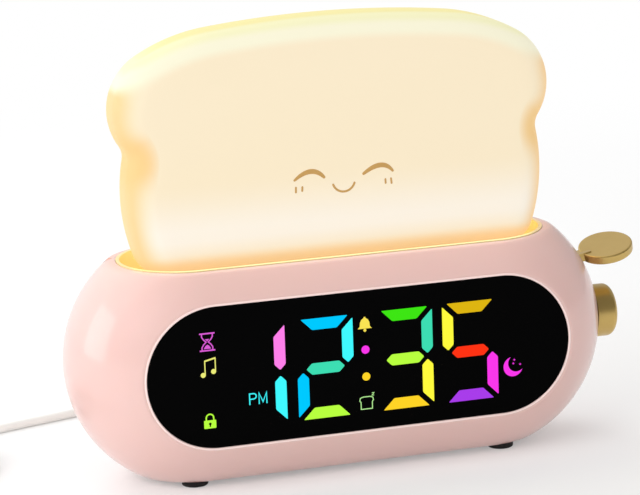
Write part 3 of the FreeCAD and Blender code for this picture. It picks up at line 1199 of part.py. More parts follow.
def cord_run():
    """The free stretch of the lead: straight runs joined by the largest tangent arcs"""
    points = [vec(*p) for p in CORD_ROUTE]
    edges = []
    here = points[0]
    radii = []
    for before, corner, after in zip(points, points[1:], points[2:]):
        back = (before - corner)
        ahead = (after - corner)
        shorter = min(back.Length, ahead.Length)
        back.normalize()
        ahead.normalize()
        half_turn = (math.pi - math.acos(back.dot(ahead))) / 2
        reach = 0.45 * shorter
        radius = reach / math.tan(half_turn)
        radii.append(round(radius, 1))
        start = corner + back * reach
        end = corner + ahead * reach
        bisector = (back + ahead).normalize()
        middle = corner + bisector * (radius / math.cos(half_turn) - radius)
        edges.append(Part.LineSegment(here, start).toShape())
        edges.append(Part.Arc(start, middle, end).toShape())
        here = end
    edges.append(Part.LineSegment(here, points[-1]).toShape())
    tube = swept_round(edges, CORD_R)
    length = sum(e.Length for e in edges)
    print("cord run: arc radii", radii, "length", round(length, 1),
          "volume over section times length", round(tube.Volume / (math.pi * CORD_R ** 2 * length), 4))
    return tube


def coil_frame():
    """Centre and start angle of the coil, from the last run of the route"""
    last = vec(*CORD_ROUTE[-1])
    heading = (last - vec(*CORD_ROUTE[-2])).normalize()
    start = last + heading * (2 * CORD_R)
    angle = math.atan2(-heading.x, heading.y)
    centre = start - vec(math.cos(angle), math.sin(angle), 0) * COIL_START_R
    return last, heading, start, centre, angle


def smooth_step(s):
    """Rises from 0 to 1 with level ends"""
    s = min(max(s, 0.0), 1.0)
    return s * s * (3 - 2 * s)


def coil_place(turn, centre, angle):
    """Point on the coil after a number of turns: in on the floor, up, out on top, then down outside"""
    lift = TIE_THICK + FIT
    floor = CORD_R + lift * smooth_step(turn / COIL_LIFT_TURNS)
    inner_r = COIL_START_R - COIL_PITCH * COIL_TURNS_IN
    out_start = COIL_TURNS_IN + COIL_CLIMB_TURNS
    out_end = out_start + COIL_TURNS_OUT
    end_r = inner_r + COIL_PITCH * COIL_TURNS_OUT
    if turn <= COIL_TURNS_IN:
        r = COIL_START_R - COIL_PITCH * turn
        z = floor
    elif turn <= out_start:
        r = inner_r
        z = floor + COIL_PITCH * smooth_step((turn - COIL_TURNS_IN) / COIL_CLIMB_TURNS)
    elif turn <= out_end:
        r = inner_r + COIL_PITCH * (turn - out_start)
        z = floor + COIL_PITCH
    else:
        part = (turn - out_end) * 360 / COIL_TAIL_DEG
        r = end_r + (COIL_TAIL_R - end_r) * smooth_step(part)
        z = floor + COIL_PITCH - (COIL_PITCH + lift) * smooth_step(2 * part - 1)
    a = angle + 2 * math.pi * turn
    return vec(centre.x + r * math.cos(a), centre.y + r * math.sin(a), z)


def coil_path():
    """The coil's arcs: straight start, quarter-turn biarcs, quicker steps on the tail, straight end"""
    last, heading, start, centre, angle = coil_frame()
    turns = COIL_TURNS_IN + COIL_CLIMB_TURNS + COIL_TURNS_OUT
    quarters = int(round(turns * COIL_STEPS))
    tail_steps = 4
    tail_turns = COIL_TAIL_DEG / 360

    def wound(i):
        return coil_place(i / COIL_STEPS, centre, angle)

    def tail(i):
        return coil_place(turns + i / tail_steps * tail_turns, centre, angle)

    joint = (coil_place(turns + 1e-4, centre, angle) - coil_place(turns - 1e-4, centre, angle)).normalize()
    edges = [Part.LineSegment(last, start).toShape()]
    main, directions = wound_edges(wound, quarters, heading, joint)
    edges += main
    end_point = tail(tail_steps)
    level = end_point - tail(tail_steps - 0.01)
    level.z = 0
    level.normalize()
    rest, directions = wound_edges(tail, tail_steps, joint, level)
    edges += rest
    edges.append(Part.LineSegment(end_point, end_point + level * (2 * CORD_R)).toShape())
    return edges, end_point + level * (2 * CORD_R), level


def report_coil_gap(edges):
    """Prints the coil's length and its least gap to itself"""
    points = []
    travelled = 0.0
    for edge in edges:
        count = max(2, int(edge.Length / 1.5))
        first = edge.FirstParameter
        step = (edge.LastParameter - first) / count
        for i in range(count):
            points.append((edge.valueAt(first + step * i), travelled + edge.Length * i / count))
        travelled += edge.Length
    least = min((p - q).Length for p, s in points for q, t in points if t - s > 8 * CORD_R)
    print("cord coil: length", round(travelled, 1), "least gap to itself", round(least - 2 * CORD_R, 2))


def cord_coil():
    """The put-away length as one unbroken tube, wound in two layers"""
    edges, end, level = coil_path()
    report_coil_gap(edges)
    return swept_round(edges, CORD_R, 8)


def cord_tie():
    """Closed strap round the coil's bundle"""
    last, heading, start, centre, angle = coil_frame()
    half = TIE_WIDTH / 2
    hole_r = COIL_START_R - COIL_PITCH * COIL_TURNS_IN - CORD_R
    inner_r = math.sqrt(hole_r ** 2 - half ** 2) - SEAT
    outer_r = COIL_START_R - COIL_PITCH * TIE_DEG / 360 + CORD_R + SEAT
    top = TIE_THICK + FIT + 2 * CORD_R + COIL_PITCH + FIT
    outer = box(inner_r - TIE_THICK, outer_r + TIE_THICK, -half, half, 0.0, top + TIE_THICK)
    strap = outer.cut(box(inner_r, outer_r, -half - 1, half + 1, TIE_THICK, top))
    turned = FreeCAD.Rotation(vec(0, 0, 1), math.degrees(angle) + TIE_DEG)
    strap.Placement = FreeCAD.Placement(vec(centre.x, centre.y, 0), turned)
    return strap


def usb_plug():
    """Flat plug on the far end: grip, metal shell with its mouth"""
    edges, end, level = coil_path()
    turned = FreeCAD.Rotation(vec(1, 0, 0), level)
    rise = USB_GRIP_HEIGHT / 2
    grip = box(0, USB_GRIP_LENGTH, -USB_GRIP_WIDTH / 2, USB_GRIP_WIDTH / 2, -rise, rise)
    grip = grip.makeFillet(1.6, [e for e in grip.Edges if abs(e.BoundBox.XMax - e.BoundBox.XMin) > 1])
    shell = box(USB_GRIP_LENGTH - 1, USB_GRIP_LENGTH + USB_LENGTH, -USB_WIDTH / 2, USB_WIDTH / 2,
                -USB_HEIGHT / 2, USB_HEIGHT / 2)
    mouth = box(USB_GRIP_LENGTH + 1, USB_GRIP_LENGTH + USB_LENGTH + 1, -USB_WIDTH / 2 + 0.4, USB_WIDTH / 2 - 0.4,
                -USB_HEIGHT / 2 + 2.2, USB_HEIGHT / 2 - 0.4)
    plug = grip.fuse(shell).cut(mouth)
    plug.Placement = FreeCAD.Placement(vec(end.x, end.y, rise), turned)
    return plug


def rubber_feet():
    """Four soft feet, each with a spigot in the case"""
    feet = []
    for x in (-FOOT_X, FOOT_X):
        for y in (FOOT_FRONT_Y, FOOT_REAR_Y):
            disc = rod(FOOT_R, (x, y, 0), (x, y, BASE_FLAT + FOOT_SINK - FIT))
            low = [e for e in disc.Edges if e.Closed and abs(e.BoundBox.ZMax) < 0.01]
            disc = disc.makeFillet(0.5, low)
            spigot = rod(FOOT_SPIGOT_R, (x, y, 1), (x, y, BASE_FLAT + FOOT_SINK + FOOT_SPIGOT - SEAT))
            feet.append(disc.fuse(spigot))
    return feet


def case_screws():
    """Four screws that close the case from behind"""
    return [screw(SCREW_R, SCREW_HEAD_R, SCREW_HEAD_THICK, (x, SEAM_Y - 18, z), (x, SEAM_Y + 5, z))
            for x, z in case_screw_places()]


def small_screws():
    """The small screws of the boards, bracket, speaker and lamp"""
    screws = []

    def add(tip, seat):
        screws.append(screw(SMALL_SCREW_R, SMALL_HEAD_R, SMALL_HEAD_THICK, tip, seat))

    for x, z in MAIN_POSTS:
        add((x, MAIN_BOARD_REAR_Y + 5, z), (x, MAIN_BOARD_Y, z))
    rear = DISPLAY_BOARD_Y + BOARD_THICK
    for x in (-DISPLAY_SCREW_X, DISPLAY_SCREW_X):
        add((x, PLATE_BACK_Y, DISPLAY_SCREW_Z), (x, rear, DISPLAY_SCREW_Z))
    for z in BRACKET_SCREW_Z:
        add((BRACKET_SCREW_X, PLATE_BACK_Y, z), (BRACKET_SCREW_X, BRACKET_FOOT_Y + BRACKET_THICK, z))
    for side in (-1, 1):
        z = CASE_CENTRE_Z + side * ENCODER_SCREW_SPREAD
        add((ENCODER_BACK_X + 3.5, 0, z), (ENCODER_BACK_X - BOARD_THICK, 0, z))
        x = side * GUIDE_X
        add((x, LAMP_Y, GUIDE_END_Z + 7), (x, LAMP_Y, FRAME_Z))
    for x, z in speaker_ear_places():
        add((x, COVER_INNER_Y + SPEAKER_BITE - SEAT, z), (x, COVER_INNER_Y - FIT - SPEAKER_RIM_THICK, z))
    return screws


def carriage_screws():
    """Two screws that hold the carriage under the neck"""
    x = NECK_HALF - NECK_WIDTH / 2
    return [screw(SMALL_SCREW_R, SMALL_HEAD_R, SMALL_HEAD_THICK, (side * x, LAMP_Y, CARRIAGE_TOP_Z + 5),
                  (side * x, LAMP_Y, CARRIAGE_Z)) for side in (-1, 1)]


def door_screw():
    """Captive screw of the cell bay door"""
    x = BAY_X + DOOR_SCREW_DX
    seat = REAR_FLAT - SMALL_HEAD_THICK
    return screw(SMALL_SCREW_R, SMALL_HEAD_R, SMALL_HEAD_THICK - FIT, (x, seat - 6, BAY_Z), (x, seat, BAY_Z))


def build():
    """Every piece by name, around the middle of the case"""
    lens_front = MASK_FRONT_Y
    pieces = {
        "front_shell": front_shell(),
        "rear_cover": rear_cover(),
        "slot_liner": slot_liner(),
        "display_window": display_window(),
        "segment_mask": segment_mask(),
        "digit_lenses": digit_bars(FIT, lens_front, lens_front + LENS_DEPTH),
        "indicator_lenses": indicator_blocks(FIT, lens_front, lens_front + LENS_DEPTH),
        "display_board": display_board(),
        "display_leds": display_leds(),
        "lamp_diffuser": lamp_diffuser(),
        "lamp_base": lamp_base(),
        "lamp_carriage": lamp_carriage(),
        "lamp_board": lamp_board(),
        "lamp_leds": lamp_leds(),
        "lamp_springs": lamp_springs(),
        "lamp_frame": lamp_frame(),
        "carriage_screws": carriage_screws(),
        "snooze_switch": tact_switch((0, LAMP_Y, FRAME_TOP_Z), (0, 0, 1)),
        "side_lever": side_lever(),
        "lever_pin": lever_pin(),
        "lever_bracket": lever_bracket(),
        "lever_spring": lever_spring(),
        "lever_switch": lever_switch(),
        "knob": knob(),
        "encoder_shaft": shaft_body(0, KNOB_END_X - 1.2 - FIT),
        "encoder_plunger": encoder_plunger(),
        "encoder_body": encoder_body(),
        "encoder_board": encoder_board(),
        "main_board": main_board(),
        "board_chips": board_chips(),
        "button_switches": button_switches(),
        "speaker_basket": speaker_basket(),
        "speaker_cone": speaker_cone(),
        "speaker_magnet": speaker_magnet(),
        "battery_door": battery_door(),
        "battery_door_screw": door_screw(),
        "coin_cell": coin_cell(),
        "power_jack": power_jack(),
        "rubber_feet": rubber_feet(),
        "case_screws": case_screws(),
        "small_screws": small_screws(),
        "power_plug": power_plug(),
        "cord_run": cord_run(),
        "cord_coil": cord_coil(),
        "cord_tie": cord_tie(),
        "usb_plug": usb_plug(),
    }
    for name, (x, z) in zip(BUTTON_NAMES, BUTTON_PLACES):
        pieces[name] = rear_button(x, z)
    return pieces


CORD_NODES = ("power_plug", "cord_run", "cord_coil", "cord_tie", "usb_plug")


def main():
    """Builds the pieces, puts the origin under the middle of the clock without its lead, and writes them"""
    os.makedirs("parts", exist_ok=True)
    pieces = {name: Part.makeCompound(made) if isinstance(made, list) else made for name, made in build().items()}
    clock = Part.makeCompound([made for name, made in pieces.items() if name not in CORD_NODES])
    bounds = clock.optimalBoundingBox(False, False)
    shift = vec(-(bounds.XMin + bounds.XMax) / 2, -(bounds.YMin + bounds.YMax) / 2, 0)
    print("origin shift", [round(v, 4) for v in shift], "clock box", bounds)
    for name, made in pieces.items():
        made.translate(shift)
        made.exportStep("parts/" + name + ".step")
        if not made.isValid() or made.Volume <= 0:
            print("unsound piece", name, made.isValid(), made.Volume)


main()
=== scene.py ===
"""Looks of a kids' alarm clock with a night light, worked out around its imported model.

A pill-shaped pink case holds a colour digit display. A glowing lamp shaped like a slice of bread stands
in a gold slot on top. Lengths in this file are metres; MM turns millimetres into metres.
"""

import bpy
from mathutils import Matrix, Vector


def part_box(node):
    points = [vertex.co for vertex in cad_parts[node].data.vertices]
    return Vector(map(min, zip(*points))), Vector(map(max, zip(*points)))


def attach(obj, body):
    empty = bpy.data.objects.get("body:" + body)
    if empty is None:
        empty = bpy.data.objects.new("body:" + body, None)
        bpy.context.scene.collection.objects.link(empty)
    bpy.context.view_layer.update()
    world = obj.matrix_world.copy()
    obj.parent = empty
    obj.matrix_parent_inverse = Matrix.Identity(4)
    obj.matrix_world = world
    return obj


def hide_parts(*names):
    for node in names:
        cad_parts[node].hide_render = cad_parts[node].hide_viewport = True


bl_info = {
    "name": "Kids alarm clock",
    "version": (1, 0, 0),
    "blender": (4, 5, 0),
    "location": "3D View > Sidebar > Alarm clock",
    "description": "Builds the case, the display, the lamp, the lead and the studio of an alarm clock",
    "category": "Object",
}

import math

import bmesh
import bpy
import numpy as np
from mathutils import Matrix, Vector

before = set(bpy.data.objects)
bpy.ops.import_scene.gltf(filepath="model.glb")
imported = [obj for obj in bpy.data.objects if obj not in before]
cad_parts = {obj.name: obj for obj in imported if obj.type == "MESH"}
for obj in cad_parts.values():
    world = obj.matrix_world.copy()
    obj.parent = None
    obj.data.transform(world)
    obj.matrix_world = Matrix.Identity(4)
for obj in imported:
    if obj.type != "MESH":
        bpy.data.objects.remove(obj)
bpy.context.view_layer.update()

MM = 0.001

# The case's own axes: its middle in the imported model's frame
WINDOW_LOW, WINDOW_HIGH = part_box("display_window")
CASE_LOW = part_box("front_shell")[0]
REAR_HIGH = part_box("rear_cover")[1]
LAMP_LOW, LAMP_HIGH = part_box("lamp_diffuser")
MIDDLE_X = (WINDOW_LOW.x + WINDOW_HIGH.x) / 2
MIDDLE_Y = (CASE_LOW.y + REAR_HIGH.y) / 2
MIDDLE_Z = (WINDOW_LOW.z + WINDOW_HIGH.z) / 2
FRONT_FLAT = MIDDLE_Y - CASE_LOW.y
WINDOW_FACE_Y = WINDOW_LOW.y
LAMP_FACE_Y = LAMP_LOW.y
LAMP_MIDDLE_Y = (LAMP_LOW.y + LAMP_HIGH.y) / 2

# Front shell: clearances, the window's ledge, the seam's edge as steps in and back, and the cut-outs
WINDOW_FIT = 0.1 * MM
LEDGE = 2.0 * MM
SEAM_EDGE = np.array([(0.05, 0.14), (0.22, 0.2), (2.2, 0.2)]) * MM
FLAT_BLEND = 1.2 * MM
SLOT_DEPTH = 13.0 * MM
OVERCUT = 10.0 * MM
KNOB_RECESS_DEPTH = 1.8 * MM
BUSH_RADIUS = 3.6 * MM
LEVER_SLOT = ((81.0, 110.0), (14.8, 20.9))
LEVER_SLOT_HALF = 2.9 * MM

# In millimetres: the digits' places from the case's middle, and the camera's target from the middle's foot
DIGIT_CENTRES = (-34.9, -12.3, 14.5, 36.7)
CAMERA_TARGET = (-4.10, 0.0, 71.03)

# Degrees from upright at which the lamp's lobe turns into its shoulder
SHOULDER_LEAN = 30

# Lead's radius, how far the window's rim is sunk in, and the lamp's glow: as seen, and as it lights other things
LEAD_RADIUS = 1.5 * MM
RIM_SINK = 0.15 * MM
LAMP_SEEN = 0.58
LAMP_LIGHT = 1.8

# Lamp's outline: space between its points, and how far the notch's colour reaches
OUTLINE_STEP = 1.4 * MM
WAIST_GLOW = 9 * MM

# Lamp's face in millimetres from the case's middle and the table: each eye's start, peak and end, the smile's arc,
# the cheek ticks as x, top, foot and lean; then how far the strokes, their round ends and a dark sign stand out
EYES = (((-16.4, 97.4), (-11.0, 99.8), (-6.6, 97.6)), ((6.7, 97.5), (12.4, 99.8), (16.5, 97.6)))
SMILE = (-0.05, 96.07, 3.77, 199, 341)
TICKS = ((-16.1, 95.0, 93.5, 0.05), (-14.0, 95.0, 93.8, 0.1), (14.0, 95.0, 93.8, -0.05), (16.0, 95.1, 93.6, -0.15))
STROKE_STEPS = 25
FACE_PROUD = 0.08 * MM
FACE_SUNK = 0.1 * MM
END_PROUD = 0.004 * MM
DARK_PROUD = 0.02 * MM

# Floor: radii of its rings in metres, its number of sides, and from and to where it is lifted to white how much
FLOOR_RINGS = (0.001, 0.6, 6.0)
FLOOR_SIDES = 96
FLOOR_WHITE = (0.25, 0.7, 0.3, 1.0)

# Surroundings in mirror views: from and to which direction, and from and to which strength, front to back and sideways
MIRRORED_DEPTH = (-0.2, -0.12, 0.3, 1.0)
MIRRORED_SIDE = (-0.5, 0.7, 1.15, 0.5)

# Soft lamps of the studio: name, its power in the settings, place, size, whether glossy surfaces show it
STUDIO_LAMPS = (
    ("key", "key_watts", (-1.0, -0.7, 0.8), (0.9, 0.7), False),
    ("fill", "fill_watts", (0.1, -1.3, 0.6), (0.8, 0.8), False),
    ("top", "top_watts", (-0.1, 0.1, 1.4), (1.4, 1.4), False),
    ("back", "back_watts", (-0.5, 1.0, 1.1), (1.0, 1.0), False),
    ("panel", "panel_watts", (-0.9, 0.15, 0.27), (0.5, 0.5), True),
)

# Lit bars of the four digits: bar number and colour. Bars run clockwise from the top, the middle is last
TOP, UPPER_RIGHT, LOWER_RIGHT, BOTTOM, LOWER_LEFT, UPPER_LEFT, MIDDLE = range(7)
PINK = (1.0, 0.5, 0.92)
CYAN = (0.25, 0.98, 1.0)
BLUE = (0.0, 0.79, 1.0)
TEAL = (0.24, 0.87, 0.7)
LIME = (0.72, 1.0, 0.25)
GREEN = (0.24, 0.9, 0.08)
YELLOW = (1.0, 0.98, 0.24)
GOLD = (0.87, 0.71, 0.07)
RED = (1.0, 0.2, 0.08)
MAGENTA = (0.98, 0.22, 0.92)
PURPLE = (0.66, 0.24, 0.92)
ORCHID = (0.87, 0.37, 0.85)
STRAW = (0.93, 0.93, 0.47)
AMBER = (1.0, 0.83, 0.15)
BELL = (0.98, 0.89, 0.33)
MINT = (0.72, 0.95, 0.6)
DARK = (0.0, 0.0, 0.0)
LIT_BARS = (
    {UPPER_RIGHT: PINK, LOWER_RIGHT: CYAN},
    {TOP: BLUE, UPPER_RIGHT: CYAN, MIDDLE: TEAL, LOWER_LEFT: BLUE, BOTTOM: LIME},
    {TOP: GREEN, UPPER_RIGHT: TEAL, MIDDLE: LIME, LOWER_RIGHT: YELLOW, BOTTOM: AMBER},
    {TOP: GOLD, UPPER_LEFT: YELLOW, MIDDLE: RED, LOWER_RIGHT: MAGENTA, BOTTOM: PURPLE},
)


def length(name, text, value):
    """A length property in metres"""
    return bpy.props.FloatProperty(name=name, description=text, default=value, min=0.0, unit="LENGTH", precision=5)


def tint(name, text, value):
    """A colour property as it looks on the screen"""
    return bpy.props.FloatVectorProperty(name=name, description=text, default=value, size=3, min=0.0, max=1.0,
                                         subtype="COLOR_GAMMA")


def slant(name, text, degrees):
    """An angle property"""
    return bpy.props.FloatProperty(name=name, description=text, default=math.radians(degrees), subtype="ANGLE")


def power(name, text, value):
    """A lamp's power in watts"""
    return bpy.props.FloatProperty(name=name, description=text, default=value, min=0.0, unit="POWER")


class ClockCaseSizes(bpy.types.PropertyGroup):
    """Sizes of the case's front shell"""
    half_length: length("Half length", "From the middle to the round end", MIDDLE_X - CASE_LOW.x)
    half_height: length("Half height", "From the middle to the top before the flats", 42.5 * MM)
    edge_radius: length("Edge radius", "Radius of the fully rounded edge", 32.4 * MM)
    wall: length("Wall", "Thickness of the shell", 2.4 * MM)
    lip_radius: length("Lip radius", "Rounding of the window opening", 0.35 * MM)
    crease_reach: length("Crease reach", "How far the crease round the front flat is rounded", 0.3 * MM)
    rim_radius: length("Rim radius", "Radius of the bright rim round the window", 0.4 * MM)
    top_cut: length("Top cut", "How much the top is cut flat", 9.5 * MM)
    base_cut: length("Base cut", "How much the bottom is cut flat", 4.5 * MM)
    seam: length("Seam", "How far behind the middle the shell ends", 8.9 * MM)
    slot_half_length: length("Slot half length", "Half the length of the lamp's slot", 72.0 * MM)
    slot_half_width: length("Slot half width", "Half the width of the lamp's slot", 22.2 * MM)
    knob_recess_radius: length("Knob recess radius", "Radius of the recess that the knob turns in", 9.3 * MM)


class ClockDisplaySizes(bpy.types.PropertyGroup):
    """Sizes of the lit digits and signs"""
    digit_width: length("Digit width", "Width of one digit", 18.8 * MM)
    digit_height: length("Digit height", "Height of one digit", 33.0 * MM)
    bar: length("Bar", "Thickness of a digit's bar", 3.7 * MM)
    gap: length("Gap", "Space at the ends of an upright bar", 0.95 * MM)
    end_gap: length("End gap", "Space at the ends of the top and bottom bars", 1.6 * MM)
    middle_gap: length("Middle gap", "Space at the tips of the middle bar", 1.15 * MM)
    corner: length("Corner", "Rounding of a bar's corners", 0.45 * MM)
    proud: length("Proud", "How far the light stands before the window", 0.06 * MM)
    sign_stroke: length("Sign stroke", "Width of the lines of the small signs", 0.45 * MM)


class ClockLampSizes(bpy.types.PropertyGroup):
    """Sizes of the slice-shaped lamp"""
    edge_radius: length("Edge radius", "Rounding of the slice's edges", 9.0 * MM)
    corner_radius: length("Corner radius", "Radius of the lower corners", 10.0 * MM)
    lobe_radius: length("Lobe radius", "Radius of the lobes beside the crust", 20.0 * MM)
    waist_radius: length("Waist radius", "Radius of the notch under the lobes", 6.0 * MM)
    shoulder_radius: length("Shoulder radius", "Radius between lobe and crown", 59.0 * MM)
    crown_radius: length("Crown radius", "Radius of the top", 350.0 * MM)
    belly_step: length("Belly step", "How far the lower sides stay behind the lobes", 3.0 * MM)
    waist_step: length("Waist step", "How far the notch goes in behind the lobes", 4.3 * MM)
    waist_height: length("Waist height", "Height of the notch above the foot", 39.2 * MM)
    lobe_height: length("Lobe height", "Height of the lobes' middles above the foot", 53.5 * MM)
    face_stroke: length("Face stroke", "Width of the closed eyes", 1.5 * MM)
    fine_stroke: length("Fine stroke", "Width of the smile and the cheek ticks", 0.7 * MM)


class ClockColours(bpy.types.PropertyGroup):
    """Colours of the finishes"""
    case_pink: tint("Case pink", "Pink plastic of the case", (0.891, 0.741, 0.714))
    # Lighter pink than the case pink: a painted highlight on the window's rim
    rim_highlight_pink: tint("Rim pink", "Bright rim round the window", (0.98, 0.87, 0.85))
    lamp_cream: tint("Lamp cream", "Lit face of the lamp", (0.98, 0.914, 0.784))
    lamp_white: tint("Lamp white", "Brightest band of the lamp, above its foot", (0.991, 0.955, 0.896))
    lamp_gold: tint("Lamp gold", "Sides and foot of the lamp", (0.985, 0.83, 0.60))
    lamp_orange: tint("Lamp orange", "Notch at the lamp's waist", (0.965, 0.807, 0.549))
    # The three upper-edge colours are painted light: a pale painted highlight band, a pale yellow painted highlight on
    # the rounding, and the crust's yellow brightened as painted top light
    lamp_highlight_band: tint("Lamp band", "Pale band inside the upper edge", (0.981, 0.963, 0.854))
    lamp_pale_highlight: tint("Lamp pale", "Pale yellow on the upper edge's rounding", (0.963, 0.95, 0.774))
    lamp_yellow_top_light: tint("Lamp yellow", "Top of the upper edge", (0.958, 0.915, 0.644))
    face_brown: tint("Face brown", "Closed eyes", (0.77, 0.6, 0.33))
    trim_gold: tint("Trim gold", "Knob and lever", (0.80, 0.68, 0.40))
    slot_gold: tint("Slot gold", "Liner of the lamp's slot", (0.93, 0.86, 0.62))
    lead_white: tint("Lead white", "Sleeve of the lead", (0.93, 0.93, 0.92))
    floor_white: tint("Floor white", "Studio floor", (0.96, 0.96, 0.96))


class ClockStudio(bpy.types.PropertyGroup):
    """Camera and lights"""
    lens: bpy.props.FloatProperty(name="Lens", description="Focal length", default=157.02, unit="CAMERA")
    azimuth: slant("Azimuth", "Camera's turn about the clock", -16.685)
    elevation: slant("Elevation", "Camera's height angle", 12.970)
    roll: slant("Roll", "Camera's lean", -2.028)
    distance: length("Distance", "From the camera to its target", 910.86 * MM)
    room_light: bpy.props.FloatProperty(name="Room light", description="Even light from all sides", default=0.58)
    key_watts: power("Key", "Large lamp at the upper left", 8.5)
    fill_watts: power("Fill", "Soft lamp in front", 1.6)
    top_watts: power("Top", "Wide lamp overhead", 1.5)
    back_watts: power("Back", "Wide lamp behind, for the table", 9.0)
    panel_watts: power("Panel", "Panel at the left that shows in the gloss", 1.5)


def linear(colour):
    """Screen colour to the light values that shaders use: the standard two-part curve"""
    value = np.asarray(colour, float)[:3]
    out = np.where(value <= 0.04045, value / 12.92, ((value + 0.055) / 1.055) ** 2.4)
    return tuple(float(v) for v in out)


# ---------------------------------------------------------------- meshes


def smooth_step(share):
    """A soft rise from 0 to 1: three times the square less twice the cube, held at its ends"""
    share = np.clip(share, 0, 1)
    return share ** 2 * (3 - 2 * share)


def grid_part(points, close_rows=False, close_columns=False, caps=False):
    """A grid of points as one skin: quads between neighbours, closed either way, end rows capped on request"""
    points = np.asarray(points, float)
    rows, columns = points.shape[:2]
    here = np.arange(rows * columns).reshape(rows, columns)
    down = np.roll(here, -1, axis=0)
    quads = np.stack([here, np.roll(here, -1, axis=1), np.roll(down, -1, axis=1), down], axis=-1)
    if not close_rows:
        quads = quads[:-1]
    if not close_columns:
        quads = quads[:, :-1]
    faces = quads.reshape(-1, 4).tolist()
    if caps:
        faces += [here[0][::-1].tolist(), here[-1].tolist()]
    return points.reshape(-1, 3), faces


def at_depth(outline, depth):
    """Flat (x, z) points set at one depth"""
    return np.column_stack([outline[:, 0], np.full(len(outline), depth), outline[:, 1]])


def plate_part(outline, front, back):
    """A flat (x, z) outline as a closed plate between two depths"""
    outline = np.asarray(outline, float)
    return grid_part(np.stack([at_depth(outline, y) for y in (front, back)]), close_columns=True, caps=True)


def stroke_part(line, width, front, back, closed=False):
    """A flat bar carried along an (x, z) line; the corners are mitred by the mean of the two side directions"""
    line = np.asarray(line, float)
    width = np.broadcast_to(np.asarray(width, float), (len(line),))
    ahead = np.roll(line, -1, axis=0) - line
    behind = line - np.roll(line, 1, axis=0)
    if not closed:
        ahead[-1] = behind[-1]
        behind[0] = ahead[0]
    ahead /= np.linalg.norm(ahead, axis=1, keepdims=True)
    behind /= np.linalg.norm(behind, axis=1, keepdims=True)
    side = ahead + behind
    side = np.column_stack([-side[:, 1], side[:, 0]])
    side /= np.linalg.norm(side, axis=1, keepdims=True)
    stretch = 1 / np.maximum((side * np.column_stack([-ahead[:, 1], ahead[:, 0]])).sum(1), 0.45)
    left = line + side * (width * stretch / 2)[:, None]
    right = line - side * (width * stretch / 2)[:, None]
    corners = [at_depth(edge, y) for edge, y in ((left, front), (left, back), (right, back), (right, front))]
    return grid_part(np.stack(corners, axis=1), close_rows=closed, close_columns=True, caps=not closed)


def arc(centre_x, centre_z, radius, start, end, count=16):
    """Points on a circle between two angles in degrees"""
    angle = np.radians(np.linspace(start, end, count))
    return np.column_stack([centre_x + radius * np.cos(angle), centre_z + radius * np.sin(angle)])


def cylinder_part(radius, start_x, end_x, sides=64):
    """A cylinder along X on the case's middle line"""
    turn = np.linspace(0, 2 * math.pi, sides, endpoint=False)
    rings = [np.column_stack([np.full(sides, x), MIDDLE_Y + radius * np.cos(turn), MIDDLE_Z + radius * np.sin(turn)])
             for x in (start_x, end_x)]
    return grid_part(np.stack(rings), close_columns=True, caps=True)


def stadium_directions(arc_steps, straight_steps):
    """Side share (-1 to 1), outward x and outward z round a stadium, counter-clockwise from below right"""
    turn = np.radians(np.linspace(-90, 90, arc_steps))
    run = np.linspace(1, -1, straight_steps + 2)[1:-1]
    share = np.concatenate([np.ones(arc_steps), run, -np.ones(arc_steps), -run])
    out_x = np.concatenate([np.cos(turn), np.zeros(straight_steps), -np.cos(turn), np.zeros(straight_steps)])
    out_z = np.concatenate([np.sin(turn), np.ones(straight_steps), -np.sin(turn), -np.ones(straight_steps)])
    return share, out_x, out_z


def new_mesh(name, points, faces, layers=()):
    """A mesh with its faces turned outwards; layers are (name, kind, domain, key, numbers)"""
    mesh = bpy.data.meshes.new(name)
    mesh.from_pydata(points.tolist(), [], faces)
    for layer_name, kind, domain, key, numbers in layers:
        layer = mesh.attributes.new(layer_name, kind, domain)
        layer.data.foreach_set(key, np.asarray(numbers, np.float32).ravel())
    work = bmesh.new()
    work.from_mesh(mesh)
    bmesh.ops.remove_doubles(work, verts=work.verts, dist=1e-6)
    bmesh.ops.recalc_face_normals(work, faces=work.faces)
    work.to_mesh(mesh)
    work.free()
    return mesh


def placed(name, data):
    """A new object in the scene"""
    piece = bpy.data.objects.new(name, data)
    bpy.context.scene.collection.objects.link(piece)
    return piece


def make_piece(name, parts, body, finish, replaced=(), smooth_degrees=30.0, layers=()):
    """Joins parts into one mesh object and puts it on its body"""
    faces = []
    start = 0
    for part_points, part_faces in parts:
        faces += [[start + i for i in face] for face in part_faces]
        start += len(part_points)
    mesh = new_mesh(name, np.concatenate([points for points, part_faces in parts]), faces, layers)
    mesh.materials.append(finish)
    smooth(mesh, smooth_degrees)
    piece = placed(name, mesh)
    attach(piece, body)
    if replaced:
        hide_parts(*replaced)
    return piece


def smooth(mesh, degrees):
    """Smooth shading with sharp edges above an angle"""
    mesh.shade_smooth()
    mesh.set_sharp_from_angle(angle=math.radians(degrees))


def cut_away(piece, cutters):
    """Takes closed cutter meshes out of a piece and removes them"""
    for points, faces in cutters:
        cutter = placed("cutter", new_mesh("cutter", points, faces))
        change = piece.modifiers.new("cut", "BOOLEAN")
        change.operation = "DIFFERENCE"
        change.solver = "EXACT"
        change.object = cutter
        bpy.context.view_layer.update()
        shown = piece.evaluated_get(bpy.context.evaluated_depsgraph_get())
        result = bpy.data.meshes.new_from_object(shown)
        piece.modifiers.clear()
        used = (piece.data, cutter.data)
        piece.data = result
        bpy.data.objects.remove(cutter)
        for mesh in used:
            bpy.data.meshes.remove(mesh)
    piece.data.name = piece.name
    if len(piece.data.polygons) < 1000:
        raise RuntimeError("the cuts left too little of " + piece.name)


# ---------------------------------------------------------------- materials


def feed(tree, socket, value):
    """Links a socket to another one, or sets it to a colour, a vector or a number"""
    if hasattr(value, "is_output"):
        tree.links.new(value, socket)
    elif socket.type == "RGBA":
        socket.default_value = (*value, 1.0)
    else:
        socket.default_value = value


